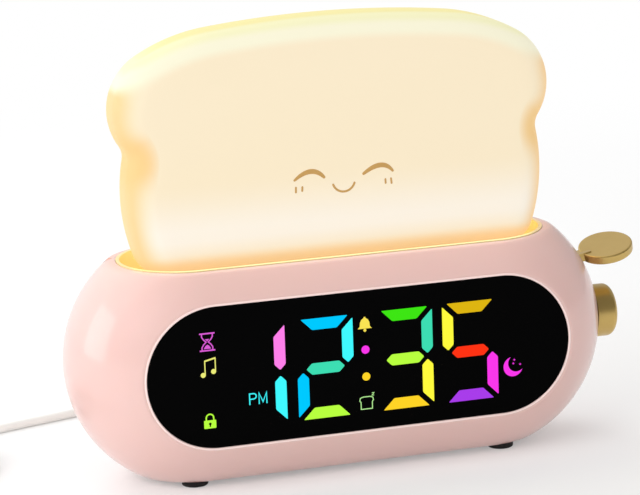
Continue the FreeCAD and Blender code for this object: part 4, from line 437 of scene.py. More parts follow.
def node(tree, kind, inputs=None, **settings):
    """A new node with its settings; its inputs are given by name or number"""
    made = tree.nodes.new("ShaderNode" + kind)
    for key, value in settings.items():
        setattr(made, key, value)
    for key, value in (inputs or {}).items():
        feed(tree, made.inputs[key], value)
    return made


def new_finish(name):
    """An empty node material: the material, its node tree and its shader"""
    material = bpy.data.materials.new(name)
    material.use_nodes = True
    tree = material.node_tree
    tree.nodes.clear()
    shader = node(tree, "BsdfPrincipled")
    node(tree, "OutputMaterial", {"Surface": shader.outputs["BSDF"]})
    return material, tree, shader


def set_constants(shader, constants):
    """Fixed values on the shader's own sockets"""
    for socket, value in constants.items():
        shader.inputs[socket].default_value = value


def joined(tree, operation, *values):
    """The result of a math node; its inputs are sockets or numbers"""
    return node(tree, "Math", dict(enumerate(values)), operation=operation).outputs[0]


def blended(tree, factor, first, second, kind="MIX"):
    """Two colours mixed by a factor; each may be a socket"""
    return node(tree, "Mix", {0: factor, 6: first, 7: second}, data_type="RGBA", blend_type=kind).outputs[2]


def between(tree, factor, first, second):
    """Two numbers mixed by a factor; each may be a socket"""
    return node(tree, "Mix", {0: factor, 2: first, 3: second}).outputs[0]


def ranged(tree, value, low, high, out_low=0.0, out_high=1.0):
    """A value stretched from one range to another, held at its ends"""
    ends = {"Value": value, "From Min": low, "From Max": high, "To Min": out_low, "To Max": out_high}
    return node(tree, "MapRange", ends, interpolation_type="SMOOTHSTEP").outputs["Result"]


def place_in(tree, output="Object"):
    """Coordinates: a position on the object, or a direction for the surroundings"""
    return node(tree, "TexCoord").outputs[output]


def axes_of(tree, vector):
    """The three numbers of a vector"""
    return node(tree, "SeparateXYZ", {"Vector": vector}).outputs


def attribute(tree, name, output="Fac"):
    """What the mesh keeps under a name"""
    return node(tree, "Attribute", attribute_name=name).outputs[output]


def object_noise(tree, scale, detail=3.0, stretch=(1, 1, 1)):
    """Noise in object coordinates, stretched along the axes"""
    place = node(tree, "Mapping", {"Vector": place_in(tree), "Scale": stretch}).outputs["Vector"]
    return node(tree, "TexNoise", {"Vector": place, "Scale": scale, "Detail": detail}).outputs["Fac"]


def add_relief(tree, shader, grain, strength):
    """Fine bump from a noise"""
    relief = node(tree, "Bump", {"Strength": strength, "Distance": 0.05 * MM, "Height": grain})
    tree.links.new(relief.outputs["Normal"], shader.inputs["Normal"])


def moulded_finish(name, colour, depth, scale, rough, swing, bump, stretch=(1, 1, 1), **constants):
    """Plastic, rubber, paper or metal: two close tints and the roughness by one noise, fine bump by a finer one"""
    material, tree, shader = new_finish(name)
    base = linear(colour)
    darker = tuple(c * (1 - depth) for c in base)
    cloud = object_noise(tree, scale, 3.0, stretch)
    tree.links.new(blended(tree, cloud, base, darker), shader.inputs["Base Color"])
    tree.links.new(ranged(tree, cloud, 0.3, 0.7, rough, rough + swing), shader.inputs["Roughness"])
    add_relief(tree, shader, object_noise(tree, scale * 14, 2.0, stretch), bump)
    set_constants(shader, constants)
    return material


def board_finish():
    """Circuit board: green solder mask with lighter tracks between the bricks of a brick pattern"""
    material, tree, shader = new_finish("solder_mask")
    place = node(tree, "Mapping", {"Vector": place_in(tree), "Rotation": (math.radians(90), 0, 0)}).outputs["Vector"]
    tracks = node(tree, "TexBrick", {"Vector": place, "Scale": 90.0, "Mortar Size": 0.06,
                                     "Color1": linear((0.07, 0.36, 0.19)), "Color2": linear((0.06, 0.32, 0.17)),
                                     "Mortar": linear((0.16, 0.5, 0.28))})
    tree.links.new(tracks.outputs["Color"], shader.inputs["Base Color"])
    set_constants(shader, {"Roughness": 0.35})
    return material


def lit_sign_finish():
    """Display light: every bar and sign glows in its own colour, kept in the face attribute light"""
    material, tree, shader = new_finish("display_light")
    tree.links.new(attribute(tree, "light", "Color"), shader.inputs["Emission Color"])
    set_constants(shader, {"Base Color": (0, 0, 0, 1), "Roughness": 0.5, "Specular IOR Level": 0.0,
                           "Emission Strength": 1.0})
    return material


def lamp_finish(colours):
    """Lit silicone: cream face with a white band above the LEDs, gold sides and foot, and a yellow upper edge with
    painted highlights and painted top light.

    The attributes rim, crown and waist say how near a point is to the side edge, the upper edge and the notch. Crown
    also grows as the edge faces up, and carries the painted highlight and painted top light.
    """
    material, tree, shader = new_finish("glowing_silicone")
    height = axes_of(tree, place_in(tree))["Z"]
    base = LAMP_LOW.z
    gold = linear(colours.lamp_gold)
    band = joined(tree, "MULTIPLY", ranged(tree, height, base + 4 * MM, base + 15 * MM),
                  ranged(tree, height, base + 12 * MM, base + 32 * MM, 1.0, 0.0))
    whiter = joined(tree, "MULTIPLY_ADD", object_noise(tree, 18, 1.0, (0.6, 1, 1.4)), 0.16, band)
    shown = blended(tree, whiter, linear(colours.lamp_cream), linear(colours.lamp_white))
    shown = blended(tree, ranged(tree, attribute(tree, "rim"), 0.1, 0.7), shown, gold)
    shown = blended(tree, ranged(tree, attribute(tree, "waist"), 0.05, 0.7), shown, linear(colours.lamp_orange))
    # Upper edge by crown, that is by how far it faces up: painted highlight band, pale yellow painted highlight, then
    # the crust's yellow with painted top light
    crown = attribute(tree, "crown")
    for low, high, colour in ((0.05, 0.3, colours.lamp_highlight_band), (0.4, 0.65, colours.lamp_pale_highlight),
                              (0.75, 0.95, colours.lamp_yellow_top_light)):
        shown = blended(tree, ranged(tree, crown, low, high), shown, linear(colour))
    shown = blended(tree, ranged(tree, height, base + 4.5 * MM, base + 9 * MM, 0.7, 0.0), shown, gold)
    tree.links.new(blended(tree, 1.0, shown, (0.4, 0.4, 0.4), "MULTIPLY"), shader.inputs["Base Color"])
    tree.links.new(shown, shader.inputs["Emission Color"])
    add_relief(tree, shader, object_noise(tree, 2200, 2.0), 0.12)
    rays = node(tree, "LightPath").outputs
    glow = ranged(tree, rays["Is Camera Ray"], 0, 1, LAMP_LIGHT, LAMP_SEEN)
    tree.links.new(glow, shader.inputs["Emission Strength"])
    set_constants(shader, {"Roughness": 0.5, "Specular IOR Level": 0.25})
    return material


def slot_finishes(colours):
    """Every finish by its slot's name; the numbers are those of moulded_finish"""
    gloss = {"Coat Weight": 0.6, "Coat Roughness": 0.04, "Specular IOR Level": 0.4, "Subsurface Weight": 0.05,
             "Subsurface Scale": 0.002}
    pale_gold = {"Metallic": 0.15, "Coat Weight": 0.2, "Coat Roughness": 0.2}
    bright_gold = {"Metallic": 0.85, "Coat Weight": 0.25, "Coat Roughness": 0.2}
    milky = {"Subsurface Weight": 0.3, "Subsurface Scale": 0.002}
    table = {
        "pink_plastic": ("pink_plastic_gloss", colours.case_pink, 0.02, 30, 0.28, 0.05, 0.03, gloss),
        "gold_plastic": ("champagne_gold", colours.slot_gold, 0.06, 60, 0.3, 0.08, 0.05, pale_gold),
        "gold_metallised": ("satin_gold", colours.trim_gold, 0.08, 120, 0.3, 0.1, 0.1, (1, 1, 0.3), bright_gold),
        "black_window": ("black_acrylic", (0.012, 0.012, 0.013), 0.3, 40, 0.1, 0.04, 0.01,
                         {"Specular IOR Level": 0.015}),
        "black_plastic": ("black_moulding", (0.07, 0.07, 0.07), 0.2, 120, 0.5, 0.1, 0.2, {}),
        "white_plastic": ("white_moulding", (0.9, 0.9, 0.88), 0.03, 90, 0.4, 0.1, 0.1, {}),
        "milky_lens": ("milky_lens_light", (0.92, 0.92, 0.95), 0.02, 90, 0.3, 0.05, 0.05, milky),
        "warm_silicone": ("warm_silicone_plain", (0.98, 0.9, 0.74), 0.03, 60, 0.5, 0.05, 0.1, {}),
        "led_chip": ("chip_package", (0.95, 0.93, 0.8), 0.1, 400, 0.4, 0.1, 0.1, {}),
        "spring_steel": ("plated_steel", (0.72, 0.73, 0.74), 0.15, 300, 0.25, 0.1, 0.1, {"Metallic": 1.0}),
        "paper_cone": ("felted_paper", (0.16, 0.16, 0.16), 0.5, 900, 0.75, 0.15, 0.5, (1, 0.2, 1), {}),
        "ferrite": ("sintered_ferrite", (0.15, 0.15, 0.16), 0.3, 500, 0.6, 0.2, 0.6, {}),
        "black_rubber": ("matt_rubber", (0.05, 0.05, 0.05), 0.3, 300, 0.7, 0.1, 0.4, {}),
        "white_cable": ("soft_sleeve", colours.lead_white, 0.03, 120, 0.38, 0.08, 0.1, {}),
    }
    made = {slot: moulded_finish(*row[:-1], **row[-1]) for slot, row in table.items()}
    made["circuit_board"] = board_finish()
    return made


FINISH_NAMES = {}


def finish_of(slot):
    """The material made for a slot"""
    return bpy.data.materials[FINISH_NAMES[slot]]


# ---------------------------------------------------------------- pieces


class CLOCK_OT_finishes(bpy.types.Operator):
    """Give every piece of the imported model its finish"""
    bl_idname = "clock.finishes"
    bl_label = "Finishes"

    def execute(self, context):
        made = slot_finishes(context.scene.clock_colours)
        FINISH_NAMES.update({slot: material.name for slot, material in made.items()})
        for name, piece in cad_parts.items():
            for place in piece.material_slots:
                slot = place.material.name.split(".")[0]
                if slot not in made:
                    raise RuntimeError(name + " has the unknown slot " + slot)
                place.material = made[slot]
        return {"FINISHED"}


def lead_route():
    """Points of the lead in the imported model's frame: the free stretch, then the put-away coil in two layers.

    The coil's radius falls by the pitch a turn on the floor, stays while it climbs, and grows again on top.
    """
    radius = LEAD_RADIUS
    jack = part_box("power_jack")
    jack_z = (jack[0].z + jack[1].z) / 2
    rear = REAR_HIGH.y - MIDDLE_Y
    free = [(0.0, rear + 21.5 * MM, jack_z), (0.0, rear + 34.0 * MM, jack_z - 0.4 * MM),
            (-4.0 * MM, 76.4 * MM, jack_z - 8.0 * MM), (-16.5 * MM, 87.6 * MM, 3.6 * MM),
            (-35.0 * MM, 90.6 * MM, radius), (-62.0 * MM, 82.6 * MM, radius), (-112.0 * MM, 67.4 * MM, radius),
            (-139.0 * MM, 58.6 * MM, radius)]
    free = np.array(free)
    heading = free[-1] - free[-2]
    heading /= np.linalg.norm(heading)
    start_radius, pitch, lift, tail_radius = 25.0 * MM, 4.0 * MM, 0.7 * MM, 34.5 * MM
    turns_in, climb, turns_out, tail = 3.5, 0.5, 3.0, 1 / 3
    start = free[-1] + heading * 2 * radius
    angle = math.atan2(-heading[0], heading[1])
    centre = start[:2] - start_radius * np.array([math.cos(angle), math.sin(angle)])
    turn = np.arange(0, turns_in + climb + turns_out + tail + 1e-9, 1 / 24)
    inner = start_radius - pitch * turns_in
    wound = turns_in + climb + turns_out
    outer = inner + pitch * turns_out
    part = (turn - wound) / tail
    ring = np.select([turn <= turns_in, turn <= turns_in + climb, turn <= wound],
                     [start_radius - pitch * turn, inner, inner + pitch * (turn - turns_in - climb)],
                     outer + (tail_radius - outer) * smooth_step(part))
    height = (radius + lift * smooth_step(turn / 0.25) + pitch * smooth_step((turn - turns_in) / climb)
              - (pitch + lift) * smooth_step(2 * part - 1))
    bearing = angle + 2 * math.pi * turn
    coil = np.column_stack([centre[0] + ring * np.cos(bearing), centre[1] + ring * np.sin(bearing), height])
    last = coil[-1] - coil[-2]
    last[2] = 0
    end = coil[-1] + last / np.linalg.norm(last) * 2 * radius
    return np.concatenate([free, coil, [end]]) + np.array([MIDDLE_X, MIDDLE_Y, 0])


class CLOCK_OT_lead(bpy.types.Operator):
    """Lay the power lead: out of the plug, down to the table, off to the left and into its coil"""
    bl_idname = "clock.lead"
    bl_label = "Lead"

    def execute(self, context):
        route = lead_route()
        curve = bpy.data.curves.new("lead", "CURVE")
        curve.dimensions = "3D"
        line = curve.splines.new("NURBS")
        line.points.add(len(route) - 1)
        line.points.foreach_set("co", np.column_stack([route, np.ones(len(route))]).ravel())
        line.order_u = 3
        line.use_endpoint_u = True
        line.resolution_u = 6
        curve.bevel_depth = LEAD_RADIUS
        curve.bevel_resolution = 4
        curve.use_fill_caps = True
        lead = placed("lead", curve)
        curve.materials.append(finish_of("white_cable"))
        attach(lead, "clock_body")
        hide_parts("cord_run", "cord_coil")
        return {"FINISHED"}


def shell_profile(sizes):
    """Closed section of the front shell: points as (distance from the core line, depth), the share of the window's
    shorter core line in each, and how many of the last points lie inside"""
    core = sizes.half_height - sizes.edge_radius
    edge = sizes.edge_radius
    window_half = (WINDOW_HIGH.z - WINDOW_LOW.z) / 2 + WINDOW_FIT
    lip = sizes.lip_radius
    flat = -FRONT_FLAT
    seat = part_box("display_window")[1].y - MIDDLE_Y
    crease = core + math.sqrt(edge ** 2 - FRONT_FLAT ** 2)
    lean = math.pi / 2 - math.asin(FRONT_FLAT / edge)
    reach = sizes.crease_reach
    fillet = reach / math.tan(lean / 2)
    lip_arc = arc(window_half + lip, flat + lip, lip, 180, 270, 7)
    bend = np.linspace(0, lean, 7)
    crease_arc = np.column_stack([crease - reach + fillet * np.sin(bend), flat + fillet - fillet * np.cos(bend)])
    top = math.atan2(-crease_arc[-1, 1], crease_arc[-1, 0] - core)
    swing = np.linspace(top, -math.asin((sizes.seam - SEAM_EDGE[-1, 1]) / edge), 84)[1:]
    skin = np.column_stack([core + edge * np.cos(swing), -edge * np.sin(swing)])
    seam = skin[-1] + SEAM_EDGE * (-1, 1)
    inner = edge - sizes.wall
    back = seat + LEDGE
    inside = np.linspace(-math.asin(sizes.seam / inner), math.asin(-back / inner), 16)
    lining = np.column_stack([core + inner * np.cos(inside), -inner * np.sin(inside)])
    plate = np.array([[window_half - LEDGE, back], [window_half - LEDGE, seat], [window_half, seat]])
    outline = np.concatenate([lip_arc, crease_arc, skin, seam, lining, plate])
    share = np.ones(len(outline))
    share[len(lip_arc):-len(plate)] = 0
    return outline, share, len(lining) + len(plate)


def soft_limit(value, limit, blend):
    """The smaller of value and limit with a rounded change: the square of the overlap over four times the blend"""
    overlap = np.maximum(blend - np.abs(value - limit), 0)
    return np.minimum(value, limit) - overlap ** 2 / (4 * blend)


class CLOCK_OT_case_front(bpy.types.Operator):
    """Build the front shell: a section carried round a stadium, flat on top and below, with its openings cut"""
    bl_idname = "clock.case_front"
    bl_label = "Front shell"

    def execute(self, context):
        sizes = context.scene.clock_case
        section, share, hidden = shell_profile(sizes)
        side, out_x, out_z = stadium_directions(64, 24)
        span = sizes.half_length - sizes.half_height
        window_span = (WINDOW_HIGH.x - WINDOW_LOW.x) / 2 - (WINDOW_HIGH.z - WINDOW_LOW.z) / 2
        core = (span + (window_span - span) * share)[:, None]
        x = core * side[None, :] + section[:, :1] * out_x[None, :]
        z = section[:, :1] * out_z[None, :]
        inner = np.zeros((len(section), 1))
        inner[-hidden:] = sizes.wall
        z = soft_limit(z, sizes.half_height - sizes.top_cut - inner, FLAT_BLEND)
        z = -soft_limit(-z, sizes.half_height - sizes.base_cut - inner, FLAT_BLEND)
        y = np.broadcast_to(section[:, 1:], x.shape)
        points = np.stack([x + MIDDLE_X, y + MIDDLE_Y, z + MIDDLE_Z], axis=-1)
        shell = make_piece("case_front", [grid_part(points, close_rows=True, close_columns=True)], "clock_body",
                           finish_of("pink_plastic"), ("front_shell",))
        share_x, ring_x, ring_y = stadium_directions(48, 2)
        slot_half = sizes.slot_half_width
        slot_core = sizes.slot_half_length - slot_half
        outline = np.column_stack([slot_core * share_x + slot_half * ring_x, slot_half * ring_y])
        slot_low = max(MIDDLE_Z + sizes.half_height - sizes.top_cut - SLOT_DEPTH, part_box("slot_liner")[0].z)
        rings = [np.column_stack([outline + [MIDDLE_X, MIDDLE_Y], np.full(len(outline), z)])
                 for z in (slot_low, MIDDLE_Z + sizes.half_height)]
        slot = grid_part(np.stack(rings), close_columns=True, caps=True)
        end_x = MIDDLE_X + sizes.half_length
        recess = cylinder_part(sizes.knob_recess_radius, end_x - KNOB_RECESS_DEPTH, end_x + OVERCUT, 96)
        bush = cylinder_part(BUSH_RADIUS, end_x - OVERCUT, end_x)
        (left, right), (low, high) = LEVER_SLOT
        corners = np.array([(left, low), (right, low), (right, high), (left, high)]) * MM + [MIDDLE_X, MIDDLE_Z]
        lever = plate_part(corners, MIDDLE_Y - LEVER_SLOT_HALF, MIDDLE_Y + LEVER_SLOT_HALF)
        cut_away(shell, [slot, recess, bush, lever])
        smooth(shell.data, 30)
        return {"FINISHED"}


class CLOCK_OT_window_rim(bpy.types.Operator):
    """Add the thin rim round the window, in a lighter pink than the case as a painted highlight: a circle carried round
    the window's outline, half sunk in the shell
    """
    bl_idname = "clock.window_rim"
    bl_label = "Window rim"

    def execute(self, context):
        radius = context.scene.clock_case.rim_radius
        window_half = (WINDOW_HIGH.z - WINDOW_LOW.z) / 2
        core = (WINDOW_HIGH.x - WINDOW_LOW.x) / 2 - window_half
        side, out_x, out_z = stadium_directions(64, 24)
        turn = np.linspace(0, 2 * math.pi, 14, endpoint=False)[:, None]
        reach = window_half + WINDOW_FIT + radius * (1 + np.cos(turn))
        depth = -FRONT_FLAT + RIM_SINK + radius * np.sin(turn)
        x = core * side + reach * out_x
        points = np.stack([x + MIDDLE_X, np.broadcast_to(depth, x.shape) + MIDDLE_Y, reach * out_z + MIDDLE_Z], axis=-1)
        # The rim's lighter pink is a painted highlight; its coat is real gloss
        finish = moulded_finish("rim_gloss", context.scene.clock_colours.rim_highlight_pink, 0.02, 60, 0.2, 0.05, 0.02,
                                **{"Coat Weight": 1.0, "Coat Roughness": 0.05})
        make_piece("window_rim", [grid_part(points, close_rows=True, close_columns=True)], "clock_body", finish,
                   smooth_degrees=80)
        return {"FINISHED"}


def rounded(outline, radius, steps=5):
    """A closed outline whose corners become quadratic curves that start and end a radius away from the corner"""
    outline = np.asarray(outline, float)
    before = np.roll(outline, 1, axis=0) - outline
    after = np.roll(outline, -1, axis=0) - outline
    before *= radius / np.linalg.norm(before, axis=1, keepdims=True)
    after *= radius / np.linalg.norm(after, axis=1, keepdims=True)
    way = np.linspace(0, 1, steps)[None, :, None]
    curve = outline[:, None] + (1 - way) ** 2 * before[:, None] + way ** 2 * after[:, None]
    return curve.reshape(-1, 2)


def bar_outlines(sizes):
    """The seven mitred bars of a digit around its centre, clockwise from the top, the middle last"""
    a, b, t, g, e = sizes.digit_width / 2, sizes.digit_height / 2, sizes.bar, sizes.gap, sizes.end_gap
    tip = a - t / 2 - sizes.middle_gap
    top = np.array([(-a + e, b), (a - e, b), (a - e - t, b - t), (-a + e + t, b - t)])
    right = np.array([(a, b - g), (a, t / 2 + g), (a - t / 2, g), (a - t, t / 2 + g), (a - t, b - t - g)])
    middle = np.array([(-tip, 0), (-tip + t / 2, t / 2), (tip - t / 2, t / 2), (tip, 0), (tip - t / 2, -t / 2),
                       (-tip + t / 2, -t / 2)])
    bars = [top, right, right * (1, -1), top * (1, -1), right * (-1, -1), right * (-1, 1), middle]
    return [rounded(bar, sizes.corner) for bar in bars]


def sign_shapes(stroke):
    """Small signs as (centre, colour, filled outlines, lines with width and closed), all in millimetres"""
    moon = np.concatenate([arc(0, 0, 3.3, 104, 341, 28), arc(1.2, 1.1, 2.9, 311.4, 133.6, 28)[1:-1]])
    spark = np.array([(0, 0.45), (0.13, 0.13), (0.45, 0), (0.13, -0.13), (0, -0.45), (-0.13, -0.13), (-0.45, 0),
                      (-0.13, 0.13)])
    bell_side = np.array([(0.3, 2.15), (1.0, 1.6), (1.4, 0.7), (1.5, -0.6), (2.1, -1.35)])
    bell = np.concatenate([bell_side, (bell_side * (-1, 1))[::-1]])
    body = np.array([(-2.15, -2.4), (-1.95, -2.6), (1.95, -2.6), (2.15, -2.4), (2.15, 0.1), (1.95, 0.3), (-1.95, 0.3),
                     (-2.15, 0.1)])
    shackle = 0.9 * np.concatenate([[(-1.35, 0.2)], arc(0, 1.15, 1.35, 180, 0, 13), [(1.35, 0.2)]])
    keyhole = [arc(0, 0.2, 0.45, 0, 345, 12), [(-0.18, 0), (-0.25, -0.75), (0.25, -0.75), (0.18, 0)]]
    glass = np.array([(-1.75, 2.6), (-1.75, 1.7), (-1.2, 0.8), (-0.35, 0), (-1.2, -0.8), (-1.75, -1.7), (-1.75, -2.6)])
    slice_line = np.array([(-1.9, -2.1), (1.9, -2.1), (1.9, 0.3), (2.3, 0.9), (2.1, 1.8), (1.2, 2.15), (-1.2, 2.15),
                           (-2.1, 1.8), (-2.3, 0.9), (-1.9, 0.3)])
    letter_p = np.concatenate([[(-3.1, -2.25), (-3.1, 2.05), (-1.7, 2.05)], arc(-1.7, 1.0, 1.05, 80, -80, 9),
                               [(-1.7, -0.05), (-2.9, -0.05)]])
    letter_m = np.array([(0.35, -2.25), (0.35, 2.1), (1.75, -1.5), (3.15, 2.1), (3.15, -2.25)])
    return [
        ((-50.8, 51.4), ORCHID, [[(-1.2, -2.2), (1.2, -2.2), (0.65, -1.3), (0, -0.85), (-0.65, -1.3)],
                                 [(-0.75, 0.95), (0, 0.25), (0.75, 0.95)]],
         [([(-2.5, 2.75), (2.5, 2.75)], stroke, False), ([(-2.5, -2.75), (2.5, -2.75)], stroke, False),
          (glass, stroke * 0.8, False), (glass * (-1, 1), stroke * 0.8, False)]),
        ((-50.9, 43.0), STRAW, [arc(-1.65, -2.25, 0.82, 0, 345, 20), arc(1.75, -1.35, 0.82, 0, 345, 20)],
         [([(-1.0, -2.2), (-1.0, 2.35)], 0.34, False), ([(2.4, -1.3), (2.4, 3.1)], 0.34, False),
          ([(-1.15, 2.2), (2.55, 3.05)], 0.5, False)]),
        ((-51.0, 25.6), LIME, [body * 0.92], [(shackle, stroke, False)]),
        ((-51.0, 24.5), DARK, keyhole, []),
        ((1.15, 51.4), BELL, [bell * (1.12, 1), arc(0, -1.9, 0.5, 0, 345, 12)],
         [([(0, 2.0), (0, 2.5)], 0.6, False)]),
        ((1.1, 25.8), MINT, [], [(slice_line * (1, 0.95) - (0.1, 0.35), 0.28, True),
                                 ([(1.75, 2.8), (2.45, 2.8), (1.75, 2.0), (2.45, 2.0)], 0.22, False)]),
        ((51.3, 31.8), MAGENTA, [moon, spark + (0.45, 2.2), spark + (0.1, 1.05), spark + (2.45, 0.55)], []),
        ((-35.0, 31.2), CYAN, [], [(letter_p * (0.9, 0.84), 0.38, False), (letter_m * (0.9, 0.84), 0.38, False)]),
        ((1.15, 43.1), MAGENTA, [arc(0, 0, 1.35, 0, 350, 36)], []),
        ((1.15, 34.2), AMBER, [arc(0, 0, 1.35, 0, 350, 36)], []),
    ]


class CLOCK_OT_display_light(bpy.types.Operator):
    """Light the display: mitred bars of the time and the small signs, as thin plates on the window"""
    bl_idname = "clock.display_light"
    bl_label = "Display light"

    def execute(self, context):
        sizes = context.scene.clock_display
        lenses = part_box("digit_lenses")
        digit_z = (lenses[0].z + lenses[1].z) / 2
        front = WINDOW_FACE_Y - sizes.proud
        back = WINDOW_FACE_Y + sizes.proud
        bars = bar_outlines(sizes)
        parts = []
        colours = []

        def add(part, colour):
            parts.append(part)
            colours.append(np.tile([*linear(colour), 1.0], (len(part[1]), 1)))

        for lit, centre in zip(LIT_BARS, DIGIT_CENTRES):
            for bar, colour in lit.items():
                add(plate_part(bars[bar] + [MIDDLE_X + centre * MM, digit_z], front, back), colour)
        for (u, v), colour, outlines, lines in sign_shapes(sizes.sign_stroke / MM):
            place = np.array([MIDDLE_X + u * MM, v * MM])
            nearer = front - (DARK_PROUD if colour == DARK else 0)
            for outline in outlines:
                add(plate_part(np.asarray(outline) * MM + place, nearer, back), colour)
            for line, width, closed in lines:
                add(stroke_part(np.asarray(line) * MM + place, width * MM, nearer, back, closed), colour)
        make_piece("display_light", parts, "clock_body", lit_sign_finish(), smooth_degrees=20,
                   layers=[("light", "FLOAT_COLOR", "FACE", "color", np.concatenate(colours))])
        return {"FINISHED"}


def slice_edge(sizes):
    """Right half of the slice's outline from bottom middle to top middle: points, outward directions and arc numbers.

    Every arc meets the next where the line through their centres crosses them, so the outline is smooth.
    """
    half = (LAMP_HIGH.x - LAMP_LOW.x) / 2
    lobe_r, waist_r = sizes.lobe_radius, sizes.waist_radius
    belly_half = half - sizes.belly_step
    waist_x = half - sizes.waist_step + waist_r
    lobe = np.array([half - lobe_r, sizes.lobe_height])
    gap = waist_x - belly_half
    waist = np.array([waist_x, lobe[1] - math.sqrt((lobe_r + waist_r) ** 2 - (waist_x - lobe[0]) ** 2)])
    drop = sizes.waist_height / 3
    belly_r = (drop ** 2 + gap ** 2 - waist_r ** 2) / (2 * (waist_r - gap))
    belly = np.array([belly_half - belly_r, waist[1] - drop])
    lean = math.radians(SHOULDER_LEAN)
    shoulder = lobe - (sizes.shoulder_radius - lobe_r) * np.array([math.sin(lean), math.cos(lean)])
    crown = np.array([0, shoulder[1] - math.sqrt((sizes.crown_radius - sizes.shoulder_radius) ** 2 - shoulder[0] ** 2)])
    corner_r = sizes.corner_radius
    corner = np.array([belly[0] + math.sqrt((belly_r - corner_r) ** 2 - (corner_r - belly[1]) ** 2), corner_r])

    def bearing(a, b):
        return math.degrees(math.atan2(b[1] - a[1], b[0] - a[0]))

    low = bearing(belly, corner)
    high = bearing(belly, waist)
    notch = bearing(waist, lobe)
    crest = bearing(crown, shoulder)
    arcs = [(corner, corner_r, -90, low, 1), (belly, belly_r, low, high, 1), (waist, waist_r, 180 + high, notch, -1),
            (lobe, lobe_r, notch - 180, 90 - SHOULDER_LEAN, 1),
            (shoulder, sizes.shoulder_radius, 90 - SHOULDER_LEAN, crest, 1),
            (crown, sizes.crown_radius, crest, 90, 1)]
    run = np.linspace(0, corner[0], 30)
    points = [np.column_stack([run, np.zeros(30)])]
    normals = [np.tile([0.0, -1.0], (30, 1))]
    for centre, radius, start, end, sign in arcs:
        count = max(14, int(radius * math.radians(abs(end - start)) / OUTLINE_STEP))
        angle = np.radians(np.linspace(start, end, count))[1:]
        way = np.column_stack([np.cos(angle), np.sin(angle)])
        points.append(centre + radius * way)
        normals.append(way * sign)
    return np.concatenate(points), np.concatenate(normals), waist


class CLOCK_OT_lamp(bpy.types.Operator):
    """Build the glowing slice: its outline drawn in along a quarter circle at both edges, flat between them"""
    bl_idname = "clock.lamp"
    bl_label = "Lamp"

    def execute(self, context):
        sizes = context.scene.clock_lamp
        half_outline, half_normals, waist = slice_edge(sizes)
        mirrored = (half_outline * (-1, 1))[::-1][1:-1]
        mirrored_normals = (half_normals * (-1, 1))[::-1][1:-1]
        outline = np.concatenate([half_outline, mirrored])
        normals = np.concatenate([half_normals, mirrored_normals])
        radius = sizes.edge_radius
        half_thick = (LAMP_HIGH.y - LAMP_LOW.y) / 2
        turn = np.linspace(0, math.pi / 2, 15)
        inset = radius * (1 - np.cos(turn))
        depth = half_thick - radius + radius * np.sin(turn)
        middle_z = (LAMP_HIGH.z - LAMP_LOW.z) / 2
        inner = outline - normals * radius
        core = np.column_stack([inner[:, 0] * 0.5, middle_z + (inner[:, 1] - middle_z) * 0.1])
        face = [inner * (1 - share) + core * share for share in np.linspace(0.0, 0.94, 12)[1:]]
        rings = [(outline - normals * d, y) for d, y in zip(inset, depth)]
        rings += [(ring, half_thick) for ring in face]
        front = [at_depth(ring, -y) for ring, y in rings[::-1]]
        back = [at_depth(ring, y) for ring, y in rings]
        points = np.stack(front + back) + [MIDDLE_X, LAMP_MIDDLE_Y, LAMP_LOW.z]
        edge_share = 1 - turn / (math.pi / 2)
        column = np.concatenate([np.zeros(len(face)), edge_share[::-1], edge_share, np.zeros(len(face))])
        # How far the edge faces up: the crown share below carries the painted highlight and painted top light of the
        # upper edge
        upward = np.clip((normals[:, 1] - 0.25) / 0.75, 0, 1)
        near_waist = np.exp(-(np.hypot(np.abs(outline[:, 0]) - waist[0] + sizes.waist_radius, outline[:, 1] - waist[1])
                              / WAIST_GLOW) ** 2)
        rim = column[:, None] * (1 - 0.75 * upward[None, :])
        crown = column[:, None] * upward[None, :]
        notch = np.sqrt(column)[:, None] * near_waist[None, :]
        make_piece("lamp_slice", [grid_part(points, close_columns=True, caps=True)], "lamp",
                   lamp_finish(context.scene.clock_colours), ("lamp_diffuser",), 50,
                   layers=[(name, "FLOAT", "POINT", "value", numbers)
                           for name, numbers in (("rim", rim), ("crown", crown), ("waist", notch))])
        return {"FINISHED"}


class CLOCK_OT_lamp_face(bpy.types.Operator):
    """Draw the lamp's closed eyes, smile and cheek ticks as thin raised strokes"""
    bl_idname = "clock.lamp_face"
    bl_label = "Lamp face"

    def execute(self, context):
        sizes = context.scene.clock_lamp
        front, back = LAMP_FACE_Y - FACE_PROUD, LAMP_FACE_Y + FACE_SUNK

        def curved(start, peak, end):
            """Points of the parabola through three points"""
            way = np.linspace(0, 1, STROKE_STEPS)[:, None]
            start, peak, end = (np.array(p) for p in (start, peak, end))
            handle = 2 * peak - (start + end) / 2
            return (1 - way) ** 2 * start + 2 * way * (1 - way) * handle + way ** 2 * end

        def tapered(width, outer_first):
            """Widths along a stroke: a half sine over a base, heavier at its inner end"""
            way = np.linspace(0, 1, STROKE_STEPS)
            lean = way if outer_first else 1 - way
            return width * (0.5 + 0.5 * np.sin(np.pi * way) ** 0.8 + 0.12 * lean)

        place = [MIDDLE_X, 0]
        strokes = [(curved(*eye), tapered(sizes.face_stroke, left)) for eye, left in zip(EYES, (True, False))]
        strokes.append((arc(*SMILE, STROKE_STEPS), np.full(STROKE_STEPS, sizes.fine_stroke)))
        strokes += [(np.array([(x + lean, top), (x, low)]), np.full(2, sizes.fine_stroke * 0.9))
                    for x, top, low, lean in TICKS]
        parts = []
        for line, width in strokes:
            path = line * MM + place
            parts.append(stroke_part(path, width, front, back))
            for end, size in ((path[0], width[0]), (path[-1], width[-1])):
                parts.append(plate_part(arc(end[0], end[1], size / 2, 0, 345, 20), front - END_PROUD, back))
        colour = context.scene.clock_colours.face_brown
        finish = moulded_finish("face_print", colour, 0.12, 500, 0.5, 0.1, 0.1,
                                **{"Emission Color": (*linear(colour), 1), "Emission Strength": 0.04})
        make_piece("lamp_face", parts, "lamp", finish, smooth_degrees=20)
        return {"FINISHED"}


# ---------------------------------------------------------------- studio


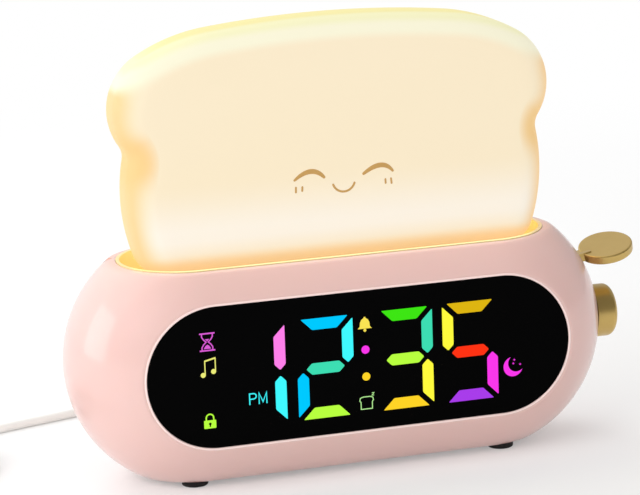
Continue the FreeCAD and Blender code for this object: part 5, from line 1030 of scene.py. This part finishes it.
class CLOCK_OT_stage(bpy.types.Operator):
    """Set the camera, the pale floor, the white surroundings and the soft lamps"""
    bl_idname = "clock.stage"
    bl_label = "Studio"

    def execute(self, context):
        scene = context.scene
        studio = scene.clock_studio
        target = Vector((MIDDLE_X, MIDDLE_Y, 0)) + Vector(CAMERA_TARGET) * MM
        a, e = studio.azimuth, studio.elevation
        back = Vector((math.sin(a) * math.cos(e), -math.cos(a) * math.cos(e), math.sin(e)))
        right = Vector((math.cos(a), math.sin(a), 0))
        up = back.cross(right)
        across = right * math.cos(studio.roll) + up * math.sin(studio.roll)
        upright = up * math.cos(studio.roll) - right * math.sin(studio.roll)
        lens = bpy.data.cameras.new("camera")
        lens.lens = studio.lens
        lens.sensor_width = 36.0
        lens.clip_start, lens.clip_end = 0.05, 50.0
        camera = placed("camera", lens)
        turned = Matrix((across, upright, back)).transposed()
        camera.matrix_world = Matrix.Translation(target + back * studio.distance) @ turned.to_4x4()
        scene.camera = camera
        self.floor(scene)
        self.surroundings(scene, studio.room_light)
        for name, watts, place, size, reflected in STUDIO_LAMPS:
            light = bpy.data.lights.new(name, "AREA")
            light.shape = "RECTANGLE"
            light.size, light.size_y = size
            light.energy = getattr(studio, watts)
            lamp = placed(name, light)
            lamp.visible_glossy = reflected
            lamp.location = place
            lamp.rotation_euler = (target - Vector(place)).to_track_quat("-Z", "Y").to_euler()
        scene.view_settings.view_transform = "Standard"
        return {"FINISHED"}

    def floor(self, scene):
        """A wide round floor: matt white that keeps the shadow, lifted to white where it is seen directly"""
        turn = np.linspace(0, 2 * math.pi, FLOOR_SIDES, endpoint=False)
        rings = [np.column_stack([r * np.cos(turn), r * np.sin(turn), np.zeros(FLOOR_SIDES)]) for r in FLOOR_RINGS]
        points, faces = grid_part(np.stack(rings), close_columns=True)
        faces.append(list(range(FLOOR_SIDES)))
        mesh = bpy.data.meshes.new("floor")
        mesh.from_pydata(points.tolist(), [], faces)
        floor = placed("floor", mesh)
        material = bpy.data.materials.new("floor_paper")
        material.use_nodes = True
        tree = material.node_tree
        tree.nodes.clear()
        matt = node(tree, "BsdfDiffuse", {"Color": linear(scene.clock_colours.floor_white)})
        glow = node(tree, "Emission", {"Strength": 1.0})
        away = node(tree, "VectorMath", {0: place_in(tree)}, operation="LENGTH")
        rays = node(tree, "LightPath").outputs
        seen = joined(tree, "MAXIMUM", joined(tree, "MAXIMUM", rays["Is Camera Ray"], rays["Is Glossy Ray"]),
                      rays["Is Transmission Ray"])
        share = joined(tree, "MULTIPLY", seen, ranged(tree, away.outputs["Value"], *FLOOR_WHITE))
        mix = node(tree, "MixShader", {0: share, 1: matt.outputs["BSDF"], 2: glow.outputs["Emission"]})
        node(tree, "OutputMaterial", {"Surface": mix.outputs["Shader"]})
        mesh.materials.append(material)

    def surroundings(self, scene, strength):
        """White seen directly, darker towards the room in mirror views, and an even soft light for everything else"""
        world = bpy.data.worlds.new("surroundings")
        scene.world = world
        world.use_nodes = True
        tree = world.node_tree
        tree.nodes.clear()
        way = axes_of(tree, place_in(tree, "Generated"))
        mirrored = joined(tree, "MULTIPLY", ranged(tree, way["Y"], *MIRRORED_DEPTH),
                          ranged(tree, way["X"], *MIRRORED_SIDE))
        rays = node(tree, "LightPath").outputs
        seen = joined(tree, "MAXIMUM", rays["Is Camera Ray"], rays["Is Transmission Ray"])
        level = between(tree, seen, between(tree, rays["Is Glossy Ray"], strength, mirrored), 1.0)
        background = node(tree, "Background", {"Color": (1, 1, 1), "Strength": level})
        node(tree, "OutputWorld", {"Surface": background.outputs["Background"]})


class CLOCK_PT_panel(bpy.types.Panel):
    """Lists the builders of the clock"""
    bl_idname = "CLOCK_PT_panel"
    bl_label = "Alarm clock"
    bl_space_type = "VIEW_3D"
    bl_region_type = "UI"
    bl_category = "Alarm clock"

    def draw(self, context):
        for operator in OPERATORS:
            self.layout.operator(operator.bl_idname)


SETTINGS = (("clock_case", ClockCaseSizes), ("clock_display", ClockDisplaySizes), ("clock_lamp", ClockLampSizes),
            ("clock_colours", ClockColours), ("clock_studio", ClockStudio))
OPERATORS = (CLOCK_OT_stage, CLOCK_OT_finishes, CLOCK_OT_lead, CLOCK_OT_case_front, CLOCK_OT_window_rim,
             CLOCK_OT_display_light, CLOCK_OT_lamp, CLOCK_OT_lamp_face)


def register():
    """Registers the settings, the operators and the panel"""
    for name, group in SETTINGS:
        bpy.utils.register_class(group)
        setattr(bpy.types.Scene, name, bpy.props.PointerProperty(type=group))
    for operator in OPERATORS:
        bpy.utils.register_class(operator)
    bpy.utils.register_class(CLOCK_PT_panel)


def unregister():
    """Removes what register added"""
    bpy.utils.unregister_class(CLOCK_PT_panel)
    for operator in reversed(OPERATORS):
        bpy.utils.unregister_class(operator)
    for name, group in reversed(SETTINGS):
        delattr(bpy.types.Scene, name)
        bpy.utils.unregister_class(group)


def main():
    """Builds everything in order"""
    register()
    bpy.ops.clock.stage()
    bpy.ops.clock.finishes()
    bpy.ops.clock.lead()
    bpy.ops.clock.case_front()
    bpy.ops.clock.window_rim()
    bpy.ops.clock.display_light()
    bpy.ops.clock.lamp()
    bpy.ops.clock.lamp_face()


if __name__ == "__main__":
    main()
